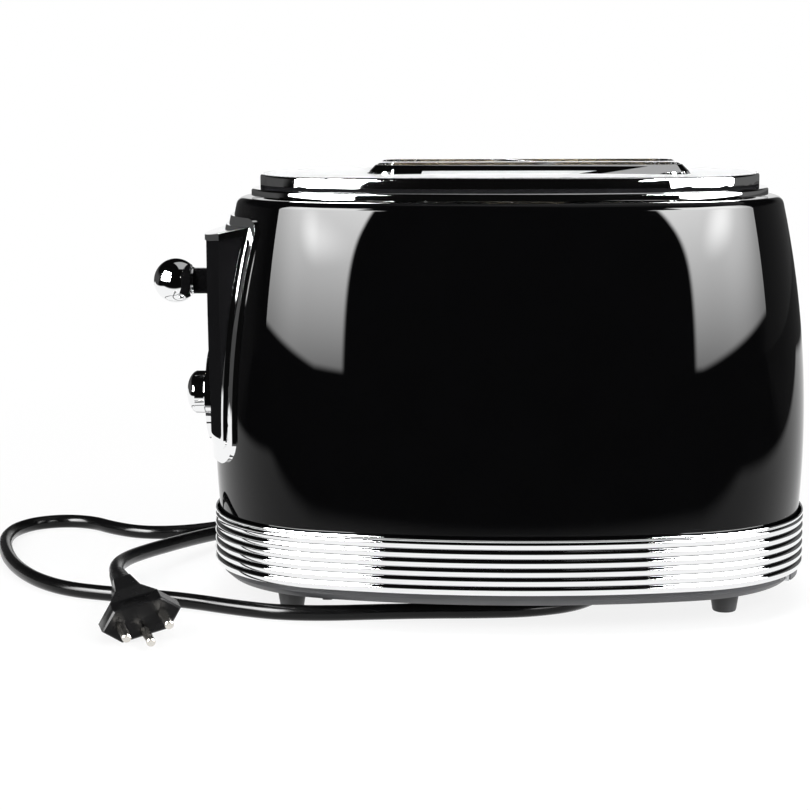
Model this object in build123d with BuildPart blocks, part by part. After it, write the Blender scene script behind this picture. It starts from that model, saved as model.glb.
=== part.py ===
from build123d import *

import math
import os

# Two-slice pop-up toaster: an oval barrel-shaped housing on a ribbed band, with the
# lever and the browning knob on one short end, and its mains lead laid beside it.
# Millimetres. +Z is up, -Y is the long front side, -X is the end with the controls.
# The origin is on the table, under the middle of the toaster without its lead.

os.makedirs("parts", exist_ok=True)

# ---------------------------------------------------------------- plan outline
body_x = 14.15  # the middle of the housing, right of the origin
half_length = 140.0  # of the band, which is the largest outline
half_depth = 87.6
end_angle = 8.0  # half the turn of each end arc
side_angle = 75.0  # where the corner arcs meet the side arcs
corner_radius = 72.0

# ---------------------------------------------------------------- heights
foot_height = 11.2
skirt_top = 17.2
shell_bottom = 20.0
band_top = 42.6
barrel_middle = 82.0  # where the housing is widest
shell_top = 190.0
flange_top = 193.2
tier_edge = 199.8
crown_top = 201.4
collar_top = 204.5

# ---------------------------------------------------------------- housing
barrel_half_length = 139.1
barrel_radius = 475.0
shell_thickness = 1.0
shoulder_radius = 4.0
shell_lip = 111.0  # half length of the opening under the top plate
shell_slot_margin = 2.0  # round the lever's window
shell_hole_radius = 6.0  # round the dial shaft
shell_cut = 35.0  # how far the cuts reach each side of the housing's end

# ---------------------------------------------------------------- top plate
flange_half_length = 120.5
tier_half_length = 116.3
plate_thickness = 1.2
crown_cross_radius = 1320.0
crown_sweep = 4.5
collar_middle = 9.0
collar_length = 148.0
collar_width = 80.0
collar_corner = 13.0
collar_slope = 45.0
collar_wall = 1.2
collar_gap = 0.2
lip_bottom = 191.0

# ---------------------------------------------------------------- bread slots
slot_length = 138.0
slot_width = 31.0
slot_spacing = 40.0
slot_corner = 9.0
slot_rows = (-slot_spacing / 2, slot_spacing / 2)

# ---------------------------------------------------------------- band
rib_count = 6
rib_pitch = 4.1
rib_depth = 1.2
rib_flat = 1.5
rib_bottom = 16.9
band_inner = 138.1
rim_inner = 139.0
rim_outer = 139.8
rim_round = 0.5

# ---------------------------------------------------------------- base pan
pan_floor = 1.5
skirt_bottom_half_length = 133.0
skirt_bevel_top = 14.2
skirt_half_length = 136.4
rail_top = 19.0
rail_inner = 38.2
rail_outer = 49.0
rail_overhang = 3.6  # past each end plate
pan_flange_x = 137.8  # just inside the band
post_inset = 6.0  # of the circuit board's posts from its edges
post_width = 8.0
foot_x = 100.0
foot_y = 41.5
foot_top_radius = 7.25
foot_bottom_radius = 5.5
foot_round = 1.0
spigot_radius = 3.0
cleat_x = -83.6
cleat_y = 36.0
cleat_drop = 7.4
cleat_width = 4.6
cleat_stem_depth = 5.0
cleat_arm_depth = 9.0
cleat_arm_offset = 2.0
cleat_arm_height = 1.6
cleat_corner = 1.2
screw_x = 64.0
screw_y = 58.0
screw_head_radius = 3.2
screw_head_height = 1.3
screw_dome_height = 0.3  # that the head has lost at its dome's edge
screw_dome_radius = 1.9
screw_radius = 1.5
screw_length = 6.0

# ---------------------------------------------------------------- crumb tray
tray_left = -62.0
tray_right = 130.0
tray_half_width = 37.0
tray_sheet = 0.8
tray_lift = 0.4
tray_rim = 2.6
tray_slot_half_width = 38.0
tray_slot_top = 18.2
tray_slot_x = 131.0  # middle of the cut through the base's end
tray_slot_reach = 12.0
grip_half_length = 137.6
grip_half_width = 35.0

# ---------------------------------------------------------------- toasting chamber
end_plate_left_x = -66.0
end_plate_right_x = 84.0
end_plate_sheet = 0.8
end_plate_half_width = 48.0
chassis_top = 187.0
shield_y = 45.6
shield_sheet = 0.8
element_left = -65.6
element_right = 83.6
element_bottom = 70.0
element_top = 180.0
element_sheet = 0.8
element_y = 41.4
element_tab = 9.0
ribbon_width = 1.6
ribbon_thickness = 0.3
ribbon_count = 9
ribbon_pitch = 11.0
ribbon_inset = 5.0

# ---------------------------------------------------------------- bread guides
guide_wire = 0.8
guide_upright = 0.68
guide_open = 13.0
guide_travel = 6.0
guide_wire_count = 8
guide_wire_pitch = 18.0
guide_bottom = 72.0
guide_top = 184.0
guide_left = -69.0
guide_right = 87.0
guide_clearance = 0.08

# ---------------------------------------------------------------- lever and carriage
lever_travel = 23.5
lever_height = 148.7
stem_height = 12.0
stem_width = 6.0
ball_radius = 10.6
ball_x = -157.8
ball_neck_x = -148.9
ball_neck_radius = 6.6
ball_socket = 5.0
ball_neck_length = 1.6
ball_neck_groove = 1.2
ball_neck_round = 0.8
ball_neck_step = 0.5
stem_corner = 1.2
stem_seat = 0.6  # how far the stem follows the bushing round
rod_x = -98.0
rod_radius = 3.0
rod_clearance = 0.05
rod_top = 186.6
bushing_radius = 7.0
bushing_bottom = 100.0
bushing_top = 156.0
cross_plate_x = -80.0
cross_plate_sheet = 1.5
cross_plate_half_width = 26.0
cross_plate_margin = 2.0  # above and below the racks
rack_bottom = 93.0
rack_top = 104.0
rack_sheet = 1.2
rack_right = 88.0
rack_slot_clearance = 0.6
rack_tab_half_width = 5.2
rack_tab_count = 7
rack_tab_pitch = 20.0
rack_tab_height = 2.4
rack_notch_corner = 2.0
spring_bottom = 24.0
spring_radius = 4.6
spring_wire = 0.6
spring_turns = 8
spring_gap = 0.72  # under the bushing

# ---------------------------------------------------------------- latch and circuit board
board_x = -112.0
board_sheet = 1.6
board_half_width = 33.0
board_bottom = 18.0
board_top = 115.0
board_hole = 4.0
magnet_y = 25.0
magnet_bottom = 94.0
magnet_top = 118.0
magnet_depth = 18.0
magnet_width = 20.0
magnet_sheet = 2.0
pole_gap = 4.0  # of the core above the coil
core_reach = 10.6  # of the core from the board
coil_radius = 7.6
core_radius = 3.2
armature_sheet = 1.5
armature_gap = 0.4
armature_width = 12.0
armature_overlap = 4.0  # behind the bushing

# ---------------------------------------------------------------- control panel
panel_half_width = 44.0
panel_bottom = 79.0
panel_bottom_x = 141.2  # half length of the panel's front at panel_bottom
panel_top = 168.0
panel_top_x = 142.0
panel_bow = 0.3
panel_corner = 3.0
panel_wall = 2.2
panel_root_x = -100.0
ledge_front_x = -142.0
ledge_front_z = 169.4  # underside of the ledge, at its front
ledge_front_top = 172.0
ledge_back_x = -118.0
ledge_back_z = 173.1
ledge_back_top = 176.8
ledge_overhang = 0.6
frame_half_width = 50.0
frame_bottom = 67.5
frame_top = 181.0
frame_corner_top = 7.0
frame_corner_bottom = 12.0
frame_thickness = 1.6
bead_width = 1.7
bead_height = 3.0
frame_lip_bottom = 75.0
frame_lip_corner = 4.0
window_half_width = 3.4
window_clearance = 0.6
window_corner = 1.5
window_bottom = 118.0
window_top = lever_height + stem_height / 2 + window_clearance

# ---------------------------------------------------------------- browning dial
dial_height = 95.2
knob_radius = 10.3
knob_face_x = -153.5
knob_back_x = -144.0
knob_skirt = 4.0
bezel_radius = 22.5
bezel_edge_x = -141.9
bezel_face_x = -143.2
knob_crown = 0.2  # how far back the face is at half its radius
knob_edge = 0.5
bezel_hole = 3.6
shaft_radius = 3.0
shaft_clearance = 0.05
pot_radius = 8.5
pot_depth = 8.0

# ---------------------------------------------------------------- mains lead
cord_radius = 3.6
cord_arc_share = 0.45  # of the shorter run, that each arc takes
relief_x = -64.0
relief_y = 30.0
relief_height = 5.9
relief_length = 28.0
relief_radius = 4.8
relief_tip_radius = 3.9
relief_groove_count = 4
relief_groove_pitch = 5.0
relief_groove_width = 1.8
relief_groove_depth = 0.7
gland_length = 13.0
gland_width = 15.0
gland_bottom = 1.2

# The lead's route: out of the strain relief, round under the base, past the front foot,
# round to the back, along behind the housing, and back to the plug.
cord_route = [
    (-8.85, 30, 5.9), (3, 30, 5.9), (25.5, 29, 4.8), (46, 18, 3.8),
    (58, -2, 3.6), (57.5, -25.5, 3.6), (45.5, -46, 3.6), (25, -57, 3.6),
    (2, -60, 3.6), (-21, -61, 3.6), (-45, -63.5, 3.6), (-68, -67, 3.6),
    (-90, -66, 3.6), (-111, -57.5, 3.6), (-132, -46, 3.6), (-154, -38, 3.6),
    (-176, -32, 3.6), (-196, -23.5, 3.6), (-212, -8, 3.6), (-225, 12, 3.6),
    (-235.5, 34, 3.6), (-243.5, 57, 3.6), (-249, 77, 3.6), (-251.5, 96, 3.6),
    (-250.5, 113, 3.6), (-243.3, 128, 3.6), (-228, 135, 3.6), (-211.8, 130.3, 3.6),
    (-199, 116.5, 3.6), (-181.5, 105, 3.6), (-161.5, 106, 3.6), (-142, 118, 3.6),
    (-125, 135, 3.6), (-109, 153, 3.6), (-90, 170, 3.6), (-68, 182, 3.6),
    (-44, 188, 3.6), (-20, 185.5, 3.6), (0, 172.5, 3.6), (9.5, 151, 3.6),
    (5, 128, 3.6), (-12, 112, 3.6), (-35, 107, 3.6), (-59, 110, 3.6),
    (-83, 115.5, 3.6), (-106, 116.5, 4.2), (-125.5, 106.5, 5.6), (-139, 88, 7.1),
    (-148.5, 67, 8.7), (-156.5, 46, 10.2), (-165.5, 24, 11.4), (-172, 2.6, 12.4),
    (-173.13, -19.6, 12.81), (-169.4, -31.2, 12.43),
]

# ---------------------------------------------------------------- mains plug
plug_roll = 14.0  # it lies on a corner of its block
plug_width = 36.0
plug_thickness = 15.0
plug_flat = 0.6  # of its width, across the top and bottom
plug_edge = 0.8
plug_block_length = 13.0
plug_length = 33.0
plug_waist_width = 19.0
plug_waist_thickness = 12.5
plug_neck_length = 55.0
plug_neck_width = 13.0
plug_neck_thickness = 11.5
grip_bar_width = 12.0
grip_bar_length = 1.6
grip_bar_pitch = 3.4
grip_bar_depth = 0.6
pin_radius = 2.0
pin_length = 19.0
pin_spacing = 19.0
pin_seat = 6.0
pin_root_radius = 1.7
pin_neck = 0.8  # of the root that shows in front of the face
pin_round = 0.9
earth_offset = 5.0
sleeve_length = 24.0
sleeve_radius = 5.6
sleeve_tip_radius = 4.0
sleeve_rings = 5
sleeve_groove = 0.7


# ---------------------------------------------------------------- shared geometry
def arc_sums():
    """Return the end and side radii that close the quarter outline."""
    cos_end = math.cos(math.radians(end_angle))
    sin_end = math.sin(math.radians(end_angle))
    cos_side = math.cos(math.radians(side_angle))
    sin_side = math.sin(math.radians(side_angle))
    slope = (1 - sin_side) / cos_side
    reach = half_length + corner_radius * (cos_side - cos_end)
    rise = half_depth - corner_radius * (sin_side - sin_end)
    end = (rise - slope * reach) / (sin_end + slope * (cos_end - 1))
    side = (reach + end * (cos_end - 1)) / cos_side
    return end, side


end_radius, side_radius = arc_sums()
end_centre = half_length - end_radius
side_centre = half_depth - side_radius
corner_x = end_centre + (end_radius - corner_radius) * math.cos(math.radians(end_angle))
corner_y = (end_radius - corner_radius) * math.sin(math.radians(end_angle))


def level(height):
    """A plan at this height, centred on the housing."""
    return Plane((body_x, 0, height))


def across(x, y=0.0, z=0.0):
    """A plane that faces +X: its sketch runs along Y and Z."""
    return Plane((body_x + x, y, z), x_dir=(0, 1, 0), z_dir=(1, 0, 0))


def lengthwise(y=0.0):
    """A plane that faces -Y: its sketch runs along X and Z."""
    return Plane((body_x, y, 0), x_dir=(1, 0, 0), z_dir=(0, -1, 0))


def oval(inset=0.0):
    """Draw the plan outline as tangent arcs, set in from the largest one."""
    corner_turn = side_angle - end_angle
    side_turn = 180 - 2 * side_angle
    CenterArc((end_centre, 0), end_radius - inset, 0, end_angle)
    CenterArc((corner_x, corner_y), corner_radius - inset, end_angle, corner_turn)
    CenterArc((0, side_centre), side_radius - inset, side_angle, side_turn)
    CenterArc((-corner_x, corner_y), corner_radius - inset, 180 - side_angle, corner_turn)
    CenterArc((-end_centre, 0), end_radius - inset, 180 - end_angle, 2 * end_angle)
    CenterArc((-corner_x, -corner_y), corner_radius - inset, 180 + end_angle, corner_turn)
    CenterArc((0, -side_centre), side_radius - inset, 180 + side_angle, side_turn)
    CenterArc((corner_x, -corner_y), corner_radius - inset, 360 - side_angle, corner_turn)
    CenterArc((end_centre, 0), end_radius - inset, 360 - end_angle, end_angle)


def oval_face(at_half_length):
    """Fill the plan outline that has this half length."""
    with BuildLine() as outline:
        oval(half_length - at_half_length)
    make_face(outline.edges())


def sweep_round():
    """Carry the section that is waiting in the open part once round the plan outline."""
    with BuildLine(level(0)) as path:
        oval()
    sweep(path=path.wires()[0])


def barrel_x(height):
    """Half length of the housing's outside at this height."""
    return barrel_half_length - barrel_radius + math.sqrt(
        barrel_radius**2 - (height - barrel_middle) ** 2
    )


def panel_x(height):
    """Half length of the control panel's front at this height."""
    slope = (panel_top_x - panel_bottom_x) / (panel_top - panel_bottom)
    bow = panel_bow * (1 - ((height - panel_bottom) / (panel_top - panel_bottom) * 2 - 1) ** 2)
    return panel_bottom_x + slope * (height - panel_bottom) + bow


def ledge_line(front_z, back_z, x):
    """Height at x of a sloping line of the ledge."""
    return front_z + (back_z - front_z) * (x - ledge_front_x) / (ledge_back_x - ledge_front_x)


def barrel_side(low, high, outset=0.0):
    """Draw the housing's side profile between two heights, as one arc."""
    middle = (low + high) / 2
    return ThreePointArc(
        (barrel_x(low) + outset, low),
        (barrel_x(middle) + outset, middle),
        (barrel_x(high) + outset, high),
    )


def finish(part, name):
    """Label a finished sub-part and write it."""
    part.label = name
    export_step(part, f"parts/{name}.step")


# ---------------------------------------------------------------- working forms
# The crown of the top plate: a flat arc turned about an axis far below it.
crown_axis_z = crown_top - crown_cross_radius
crown_lean = math.radians(crown_sweep)
with BuildPart() as crown_form:
    crown_plane = Plane(
        (body_x, 0, crown_axis_z),
        x_dir=(1, 0, 0),
        z_dir=(0, -math.cos(crown_lean), math.sin(crown_lean)),
    )
    with BuildSketch(crown_plane):
        with BuildLine():
            crown_edge = crown_cross_radius - (crown_top - tier_edge)
            crown_low = crown_cross_radius - (crown_top - shell_bottom)
            crown_arc = ThreePointArc(
                (-tier_half_length, crown_edge),
                (0, crown_cross_radius),
                (tier_half_length, crown_edge),
            )
            Polyline(
                crown_arc @ 1,
                (half_length, crown_edge),
                (half_length, crown_low),
                (-half_length, crown_low),
                (-half_length, crown_edge),
                crown_arc @ 0,
            )
        make_face()
    revolve(axis=Axis((body_x, 0, crown_axis_z), (1, 0, 0)), revolution_arc=2 * crown_sweep)


def wrap(height_low, height_high, outside_x):
    """A thick ring round the plan outline: outside_x gives its half length at a height."""
    middle = (height_low + height_high) / 2
    with BuildPart() as ring:
        with BuildSketch(lengthwise()):
            with BuildLine():
                outside = ThreePointArc(
                    (outside_x(height_low), height_low),
                    (outside_x(middle), middle),
                    (outside_x(height_high), height_high),
                )
                Polyline(
                    outside @ 1,
                    (-panel_root_x / 2, height_high),
                    (-panel_root_x / 2, height_low),
                    outside @ 0,
                )
            make_face()
        sweep_round()
    return ring.part


# Rings that end at the housing's outside, and at set distances in front of it. The
# controls on the end of the housing are cut to them, so they follow its curves.
barrel_form = wrap(shell_bottom, shell_top, barrel_x)
flange_form = wrap(shell_bottom, shell_top, lambda z: barrel_x(z) + frame_thickness)
bead_form = wrap(shell_bottom, shell_top, lambda z: barrel_x(z) + bead_height)
panel_form = wrap(shell_bottom, shell_top, panel_x)
panel_inner_form = wrap(shell_bottom, shell_top, lambda z: panel_x(z) - panel_wall)
ledge_form = wrap(shell_bottom, shell_top, lambda z: panel_x(z) + ledge_overhang)


# ================================================================ housing
with BuildPart() as body_shell:
    with BuildSketch(lengthwise()):
        with BuildLine():
            outside = barrel_side(shell_bottom, shell_top)
            Polyline(
                outside @ 1,
                (shell_lip, shell_top),
                (shell_lip, shell_top - shell_thickness),
                (barrel_x(shell_top) - 2 * shell_thickness, shell_top - shell_thickness),
            )
            inside = barrel_side(shell_bottom, shell_top - 2 * shell_thickness, -shell_thickness)
            Line((barrel_x(shell_top) - 2 * shell_thickness, shell_top - shell_thickness), inside @ 1)
            Line(inside @ 0, outside @ 0)
        section = make_face()
        shoulder = section.vertices().group_by(Axis.Y)[-1].sort_by(Axis.X)[-1]
        fillet(shoulder, radius=shoulder_radius)
    sweep_round()
    # the lever's slot and the hole for the dial shaft, behind the control panel
    with BuildSketch(across(-barrel_half_length, z=(window_top + window_bottom) / 2)):
        Rectangle(
            2 * (window_half_width + shell_slot_margin),
            window_top - window_bottom + 2 * shell_slot_margin,
        )
    extrude(amount=shell_cut, both=True, mode=Mode.SUBTRACT)
    with BuildSketch(across(-barrel_half_length, z=dial_height)):
        Circle(shell_hole_radius)
    extrude(amount=shell_cut, both=True, mode=Mode.SUBTRACT)
finish(body_shell.part, "body_shell")

# Pressed band: six ribs below a plain rim that stands clear of the housing.
with BuildPart() as base_band:
    rib_slope = (rib_pitch - rib_flat) / 2
    rib_edge = []
    for rib in range(rib_count):
        start = rib_bottom + rib * rib_pitch
        rib_edge.append((half_length - rib_depth, start))
        rib_edge.append((half_length, start + rib_slope))
        rib_edge.append((half_length, start + rib_slope + rib_flat))
    ribs_top = rib_bottom + rib_count * rib_pitch
    with BuildSketch(lengthwise()):
        with BuildLine():
            Polyline(
                (band_inner, rib_bottom),
                *rib_edge,
                (half_length - rib_depth, ribs_top),
                (rim_outer, band_top - rim_round),
                (rim_outer - rim_round, band_top),
                (rim_inner, band_top),
                (band_inner, ribs_top - rim_round),
                close=True,
            )
        make_face()
    sweep_round()
finish(base_band.part, "base_band")

# ================================================================ top plate
with BuildPart() as top_plate:
    with BuildSketch(level(shell_top)):
        oval_face(tier_half_length)
    extrude(amount=collar_top - shell_top)
    add(crown_form.part, mode=Mode.INTERSECT)
    rim = top_plate.faces().sort_by(Axis.Z)[-1].edges()
    fillet(rim, radius=plate_thickness)
    with BuildSketch(level(shell_top)):
        oval_face(flange_half_length)
    extrude(amount=flange_top - shell_top)
    flange_edge = top_plate.faces().filter_by(Plane.XY).sort_by(Axis.Z)[-1].outer_wire().edges()
    fillet(flange_edge, radius=plate_thickness)
    with BuildPart(mode=Mode.PRIVATE) as plate_hollow:
        with BuildSketch(level(shell_top)):
            oval_face(tier_half_length - plate_thickness)
        extrude(amount=collar_top - shell_top)
        add(crown_form.part.moved(Location((0, 0, -plate_thickness))), mode=Mode.INTERSECT)
    add(plate_hollow.part, mode=Mode.SUBTRACT)
    with BuildSketch(level(shell_top)):
        with Locations((collar_middle, 0)):
            RectangleRounded(
                slot_length + 2 * collar_wall + 2 * collar_gap,
                slot_spacing + slot_width + 2 * collar_wall + 2 * collar_gap,
                slot_corner + collar_wall,
            )
    extrude(amount=collar_top - shell_top, mode=Mode.SUBTRACT)
finish(top_plate.part, "top_plate")

# Raised collar round both slots, sloping down to the crown, with lips turned into the slots.
with BuildPart() as slot_collar:
    collar_foot = tier_edge - plate_thickness / 2
    collar_spread = (collar_top - plate_thickness - collar_foot) / 2
    with BuildSketch(level(collar_foot)):
        with Locations((collar_middle, 0)):
            RectangleRounded(
                collar_length + collar_spread,
                collar_width + collar_spread,
                collar_corner + collar_spread / 2,
            )
    extrude(amount=collar_top - collar_foot, taper=collar_slope)
    collar_rim = slot_collar.faces().sort_by(Axis.Z)[-1].edges()
    fillet(collar_rim, radius=plate_thickness / 2)
    add(crown_form.part, mode=Mode.SUBTRACT)
    for row in slot_rows:
        with BuildSketch(level(lip_bottom)):
            with Locations((collar_middle, row)):
                RectangleRounded(
                    slot_length + 2 * collar_wall, slot_width + 2 * collar_wall, slot_corner + collar_wall
                )
        extrude(amount=collar_top - lip_bottom - plate_thickness)
    for row in slot_rows:
        with BuildSketch(level(lip_bottom)):
            with Locations((collar_middle, row)):
                RectangleRounded(slot_length, slot_width, slot_corner)
        extrude(amount=collar_top - lip_bottom, mode=Mode.SUBTRACT)
    slot_rims = slot_collar.faces().sort_by(Axis.Z)[-1].inner_wires()
    for slot_rim in slot_rims:
        fillet(slot_rim.edges(), radius=collar_wall / 2)
finish(slot_collar.part, "slot_collar")

# ================================================================ base
tray_slot_middle = (foot_height + pan_floor + tray_slot_top) / 2
with BuildPart() as base_pan:
    with BuildSketch(level(foot_height)):
        oval_face(skirt_bottom_half_length)
    extrude(amount=pan_floor)
    with BuildSketch(lengthwise()):
        with BuildLine():
            inner = barrel_x(shell_bottom) - 2 * shell_thickness
            Polyline(
                (skirt_bottom_half_length - pan_floor, foot_height),
                (skirt_bottom_half_length, foot_height),
                (skirt_half_length, skirt_bevel_top),
                (skirt_half_length, skirt_top),
                (pan_flange_x, skirt_top),
                (pan_flange_x, shell_bottom),
                (inner, shell_bottom),
                (inner, skirt_top),
                (skirt_bottom_half_length - pan_floor, foot_height + pan_floor),
                close=True,
            )
        make_face()
    sweep_round()
    # rails that the heat shields and end plates stand on, each side of the crumb tray
    for side in (-1, 1):
        with BuildSketch(level(foot_height)):
            with Locations(
                ((end_plate_left_x + end_plate_right_x) / 2, side * (rail_inner + rail_outer) / 2)
            ):
                Rectangle(
                    end_plate_right_x - end_plate_left_x + 2 * rail_overhang,
                    rail_outer - rail_inner,
                )
        extrude(amount=rail_top - foot_height)
    # the boss of the guide rod and the two posts of the circuit board
    with BuildSketch(level(foot_height)):
        with Locations((rod_x, 0)):
            Circle(2 * rod_radius)
    extrude(amount=spring_bottom - foot_height - 2 * spring_wire)
    with BuildSketch(level(foot_height)):
        with Locations(
            (board_x, board_half_width - post_inset),
            (board_x, post_inset - board_half_width),
        ):
            Rectangle(4 * board_sheet, post_width)
    extrude(amount=spring_bottom - foot_height)
    # the gland that holds the strain relief, under the pan
    with BuildSketch(level(gland_bottom)):
        with Locations((relief_x + gland_length / 2, relief_y)):
            RectangleRounded(gland_length, gland_width, 2)
    extrude(amount=foot_height - gland_bottom)
    # the way out for the crumb tray
    with BuildSketch(across(tray_slot_x, z=tray_slot_middle)):
        Rectangle(2 * tray_slot_half_width, tray_slot_top - foot_height - pan_floor)
    extrude(amount=tray_slot_reach, both=True, mode=Mode.SUBTRACT)
    # seats of the rod, board, feet, screws and strain relief
    with BuildSketch(level(foot_height + pan_floor)):
        with Locations((rod_x, 0)):
            Circle(rod_radius)
    extrude(amount=spring_bottom - foot_height, mode=Mode.SUBTRACT)
    with BuildSketch(level(board_bottom)):
        with Locations((board_x, 0)):
            Rectangle(board_sheet, 2 * board_half_width)
    extrude(amount=spring_bottom - board_bottom, mode=Mode.SUBTRACT)
    with BuildSketch(level(foot_height)):
        with GridLocations(2 * foot_x, 2 * foot_y, 2, 2):
            Circle(spigot_radius)
        with GridLocations(2 * screw_x, 2 * screw_y, 2, 2):
            Circle(screw_radius)
    extrude(amount=pan_floor, mode=Mode.SUBTRACT)
    with BuildSketch(across(relief_x, relief_y, relief_height)):
        Circle(relief_tip_radius)
    extrude(amount=gland_length, mode=Mode.SUBTRACT)
finish(base_pan.part, "base_pan")

foot_names = {
    "foot_front_left": (-foot_x, -foot_y),
    "foot_front_right": (foot_x, -foot_y),
    "foot_rear_left": (-foot_x, foot_y),
    "foot_rear_right": (foot_x, foot_y),
}
for foot_name, (x, y) in foot_names.items():
    with BuildPart() as foot:
        with BuildSketch(lengthwise(y)):
            with BuildLine():
                Polyline(
                    (x, 0),
                    (x + foot_bottom_radius - foot_round, 0),
                    (x + foot_bottom_radius, foot_round),
                    (x + foot_top_radius, foot_height),
                    (x + spigot_radius, foot_height),
                    (x + spigot_radius, foot_height + 2 * pan_floor),
                    (x, foot_height + 2 * pan_floor),
                    close=True,
                )
            make_face()
        revolve(axis=Axis((body_x + x, y, 0), (0, 0, 1)))
    finish(foot.part, foot_name)

for cleat_name, side in (("cord_cleat_front", -1), ("cord_cleat_rear", 1)):
    with BuildPart() as cleat:
        with BuildSketch(level(foot_height)):
            with Locations((cleat_x, side * cleat_y)):
                RectangleRounded(cleat_width, cleat_stem_depth, cleat_corner)
        extrude(amount=cleat_arm_height - cleat_drop)
        with BuildSketch(level(foot_height - cleat_drop)):
            with Locations((cleat_x, side * (cleat_y + cleat_arm_offset))):
                RectangleRounded(cleat_width, cleat_arm_depth, cleat_corner)
        extrude(amount=cleat_arm_height)
    finish(cleat.part, cleat_name)

with BuildPart() as base_screws:
    for x in (-screw_x, screw_x):
        for y in (-screw_y, screw_y):
            with BuildSketch(lengthwise(y)):
                with BuildLine():
                    head = ThreePointArc(
                        (x, foot_height - screw_head_height),
                        (x + screw_dome_radius, foot_height - screw_head_height + screw_dome_height),
                        (x + screw_head_radius, foot_height),
                    )
                    Polyline(
                        head @ 1,
                        (x + screw_radius, foot_height),
                        (x + screw_radius, foot_height + screw_length),
                        (x, foot_height + screw_length),
                        head @ 0,
                    )
                make_face()
            revolve(axis=Axis((body_x + x, y, 0), (0, 0, 1)))
finish(base_screws.part, "base_screws")

# ================================================================ crumb tray
tray_floor = foot_height + pan_floor + tray_lift
with BuildPart() as crumb_tray:
    with BuildSketch(level(tray_floor)):
        with Locations(((tray_left + tray_right) / 2, 0)):
            Rectangle(tray_right - tray_left, 2 * tray_half_width)
    extrude(amount=tray_rim)
    with BuildSketch(level(tray_floor + tray_sheet)):
        with Locations(((tray_left + tray_right) / 2, 0)):
            Rectangle(tray_right - tray_left - 2 * tray_sheet, 2 * (tray_half_width - tray_sheet))
    extrude(amount=tray_rim, mode=Mode.SUBTRACT)
finish(crumb_tray.part, "crumb_tray")

with BuildPart() as tray_grip:
    with BuildSketch(level(tray_floor)):
        with BuildLine():
            oval(half_length - grip_half_length)
        make_face()
        with Locations((tray_right - half_length, 0)):
            Rectangle(2 * half_length, 2 * half_depth, mode=Mode.SUBTRACT)
        with Locations((half_length, 0)):
            Rectangle(half_length, 2 * grip_half_width, mode=Mode.INTERSECT)
    extrude(amount=tray_rim)
finish(tray_grip.part, "crumb_tray_grip")

# ================================================================ toasting chamber
def guide_slots(x):
    """Sketch the slots that the ends of the guide wires slide in."""
    slot_height = 2 * (guide_wire + guide_clearance)
    slot_reach = guide_travel + slot_height
    for row in slot_rows:
        for side in (-1, 1):
            middle = row + side * (guide_open - guide_travel / 2)
            with Locations((middle, guide_bottom), (middle, guide_top)):
                Rectangle(slot_reach, slot_height)


for plate_name, x in (("end_plate_left", end_plate_left_x), ("end_plate_right", end_plate_right_x)):
    with BuildPart() as end_plate:
        with BuildSketch(across(x)):
            with Locations((0, (rail_top + chassis_top) / 2)):
                Rectangle(2 * end_plate_half_width, chassis_top - rail_top)
            # clear of the crumb tray, which slides out below
            with Locations((0, rail_top)):
                Rectangle(2 * rail_inner, element_bottom - rail_top, mode=Mode.SUBTRACT)
        extrude(amount=end_plate_sheet / 2, both=True)
        with BuildSketch(across(x)):
            guide_slots(x)
        extrude(amount=end_plate_sheet, both=True, mode=Mode.SUBTRACT)
        with BuildSketch(across(x)):
            for row in slot_rows:
                with Locations((row, (rack_bottom - lever_travel + rack_top) / 2)):
                    Rectangle(
                        rack_sheet + 2 * rack_slot_clearance,
                        rack_top - rack_bottom + lever_travel + 2 * rack_slot_clearance,
                    )
            # windows that the tabs of the three element boards sit in
            for y in (-element_y, 0, element_y):
                with Locations((y, (element_bottom + element_top) / 2)):
                    Rectangle(element_sheet, element_tab)
        extrude(amount=end_plate_sheet, both=True, mode=Mode.SUBTRACT)
        if x < 0:
            # the bent tab that holds the top of the guide rod
            with BuildSketch(level(chassis_top - end_plate_sheet)):
                with Locations(((rod_x - 3 * rod_radius + x) / 2, 0)):
                    Rectangle(x - rod_x + 3 * rod_radius, 6 * rod_radius)
                with Locations((rod_x, 0)):
                    Circle(rod_radius, mode=Mode.SUBTRACT)
            extrude(amount=end_plate_sheet)
    finish(end_plate.part, plate_name)

for shield_name, side in (("heat_shield_front", -1), ("heat_shield_rear", 1)):
    with BuildPart() as shield:
        with BuildSketch(lengthwise(side * shield_y)):
            with Locations(((element_left + element_right) / 2, (rail_top + chassis_top) / 2)):
                Rectangle(element_right - element_left, chassis_top - rail_top)
        extrude(amount=shield_sheet / 2, both=True)
    finish(shield.part, shield_name)

element_rows = {"front": -element_y, "middle": 0.0, "rear": element_y}
element_middle_x = (element_left + element_right) / 2
for place, y in element_rows.items():
    with BuildPart() as element_board:
        with BuildSketch(lengthwise(y)):
            with Locations((element_middle_x, (element_bottom + element_top) / 2)):
                Rectangle(element_right - element_left, element_top - element_bottom)
                Rectangle(element_right - element_left + 2 * end_plate_sheet, element_tab)
        extrude(amount=element_sheet / 2, both=True)
    finish(element_board.part, f"element_board_{place}")

    with BuildPart() as heating_ribbon:
        for turn in range(ribbon_count):
            height = element_bottom + ribbon_pitch * (turn + 1)
            with BuildSketch(level(height)):
                with Locations((element_middle_x, y)):
                    Rectangle(
                        element_right - element_left - 2 * ribbon_inset,
                        element_sheet + 2 * ribbon_thickness,
                    )
                    Rectangle(
                        element_right - element_left - 2 * ribbon_inset,
                        element_sheet,
                        mode=Mode.SUBTRACT,
                    )
            extrude(amount=ribbon_width)
    finish(heating_ribbon.part, f"heating_ribbon_{place}")

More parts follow.
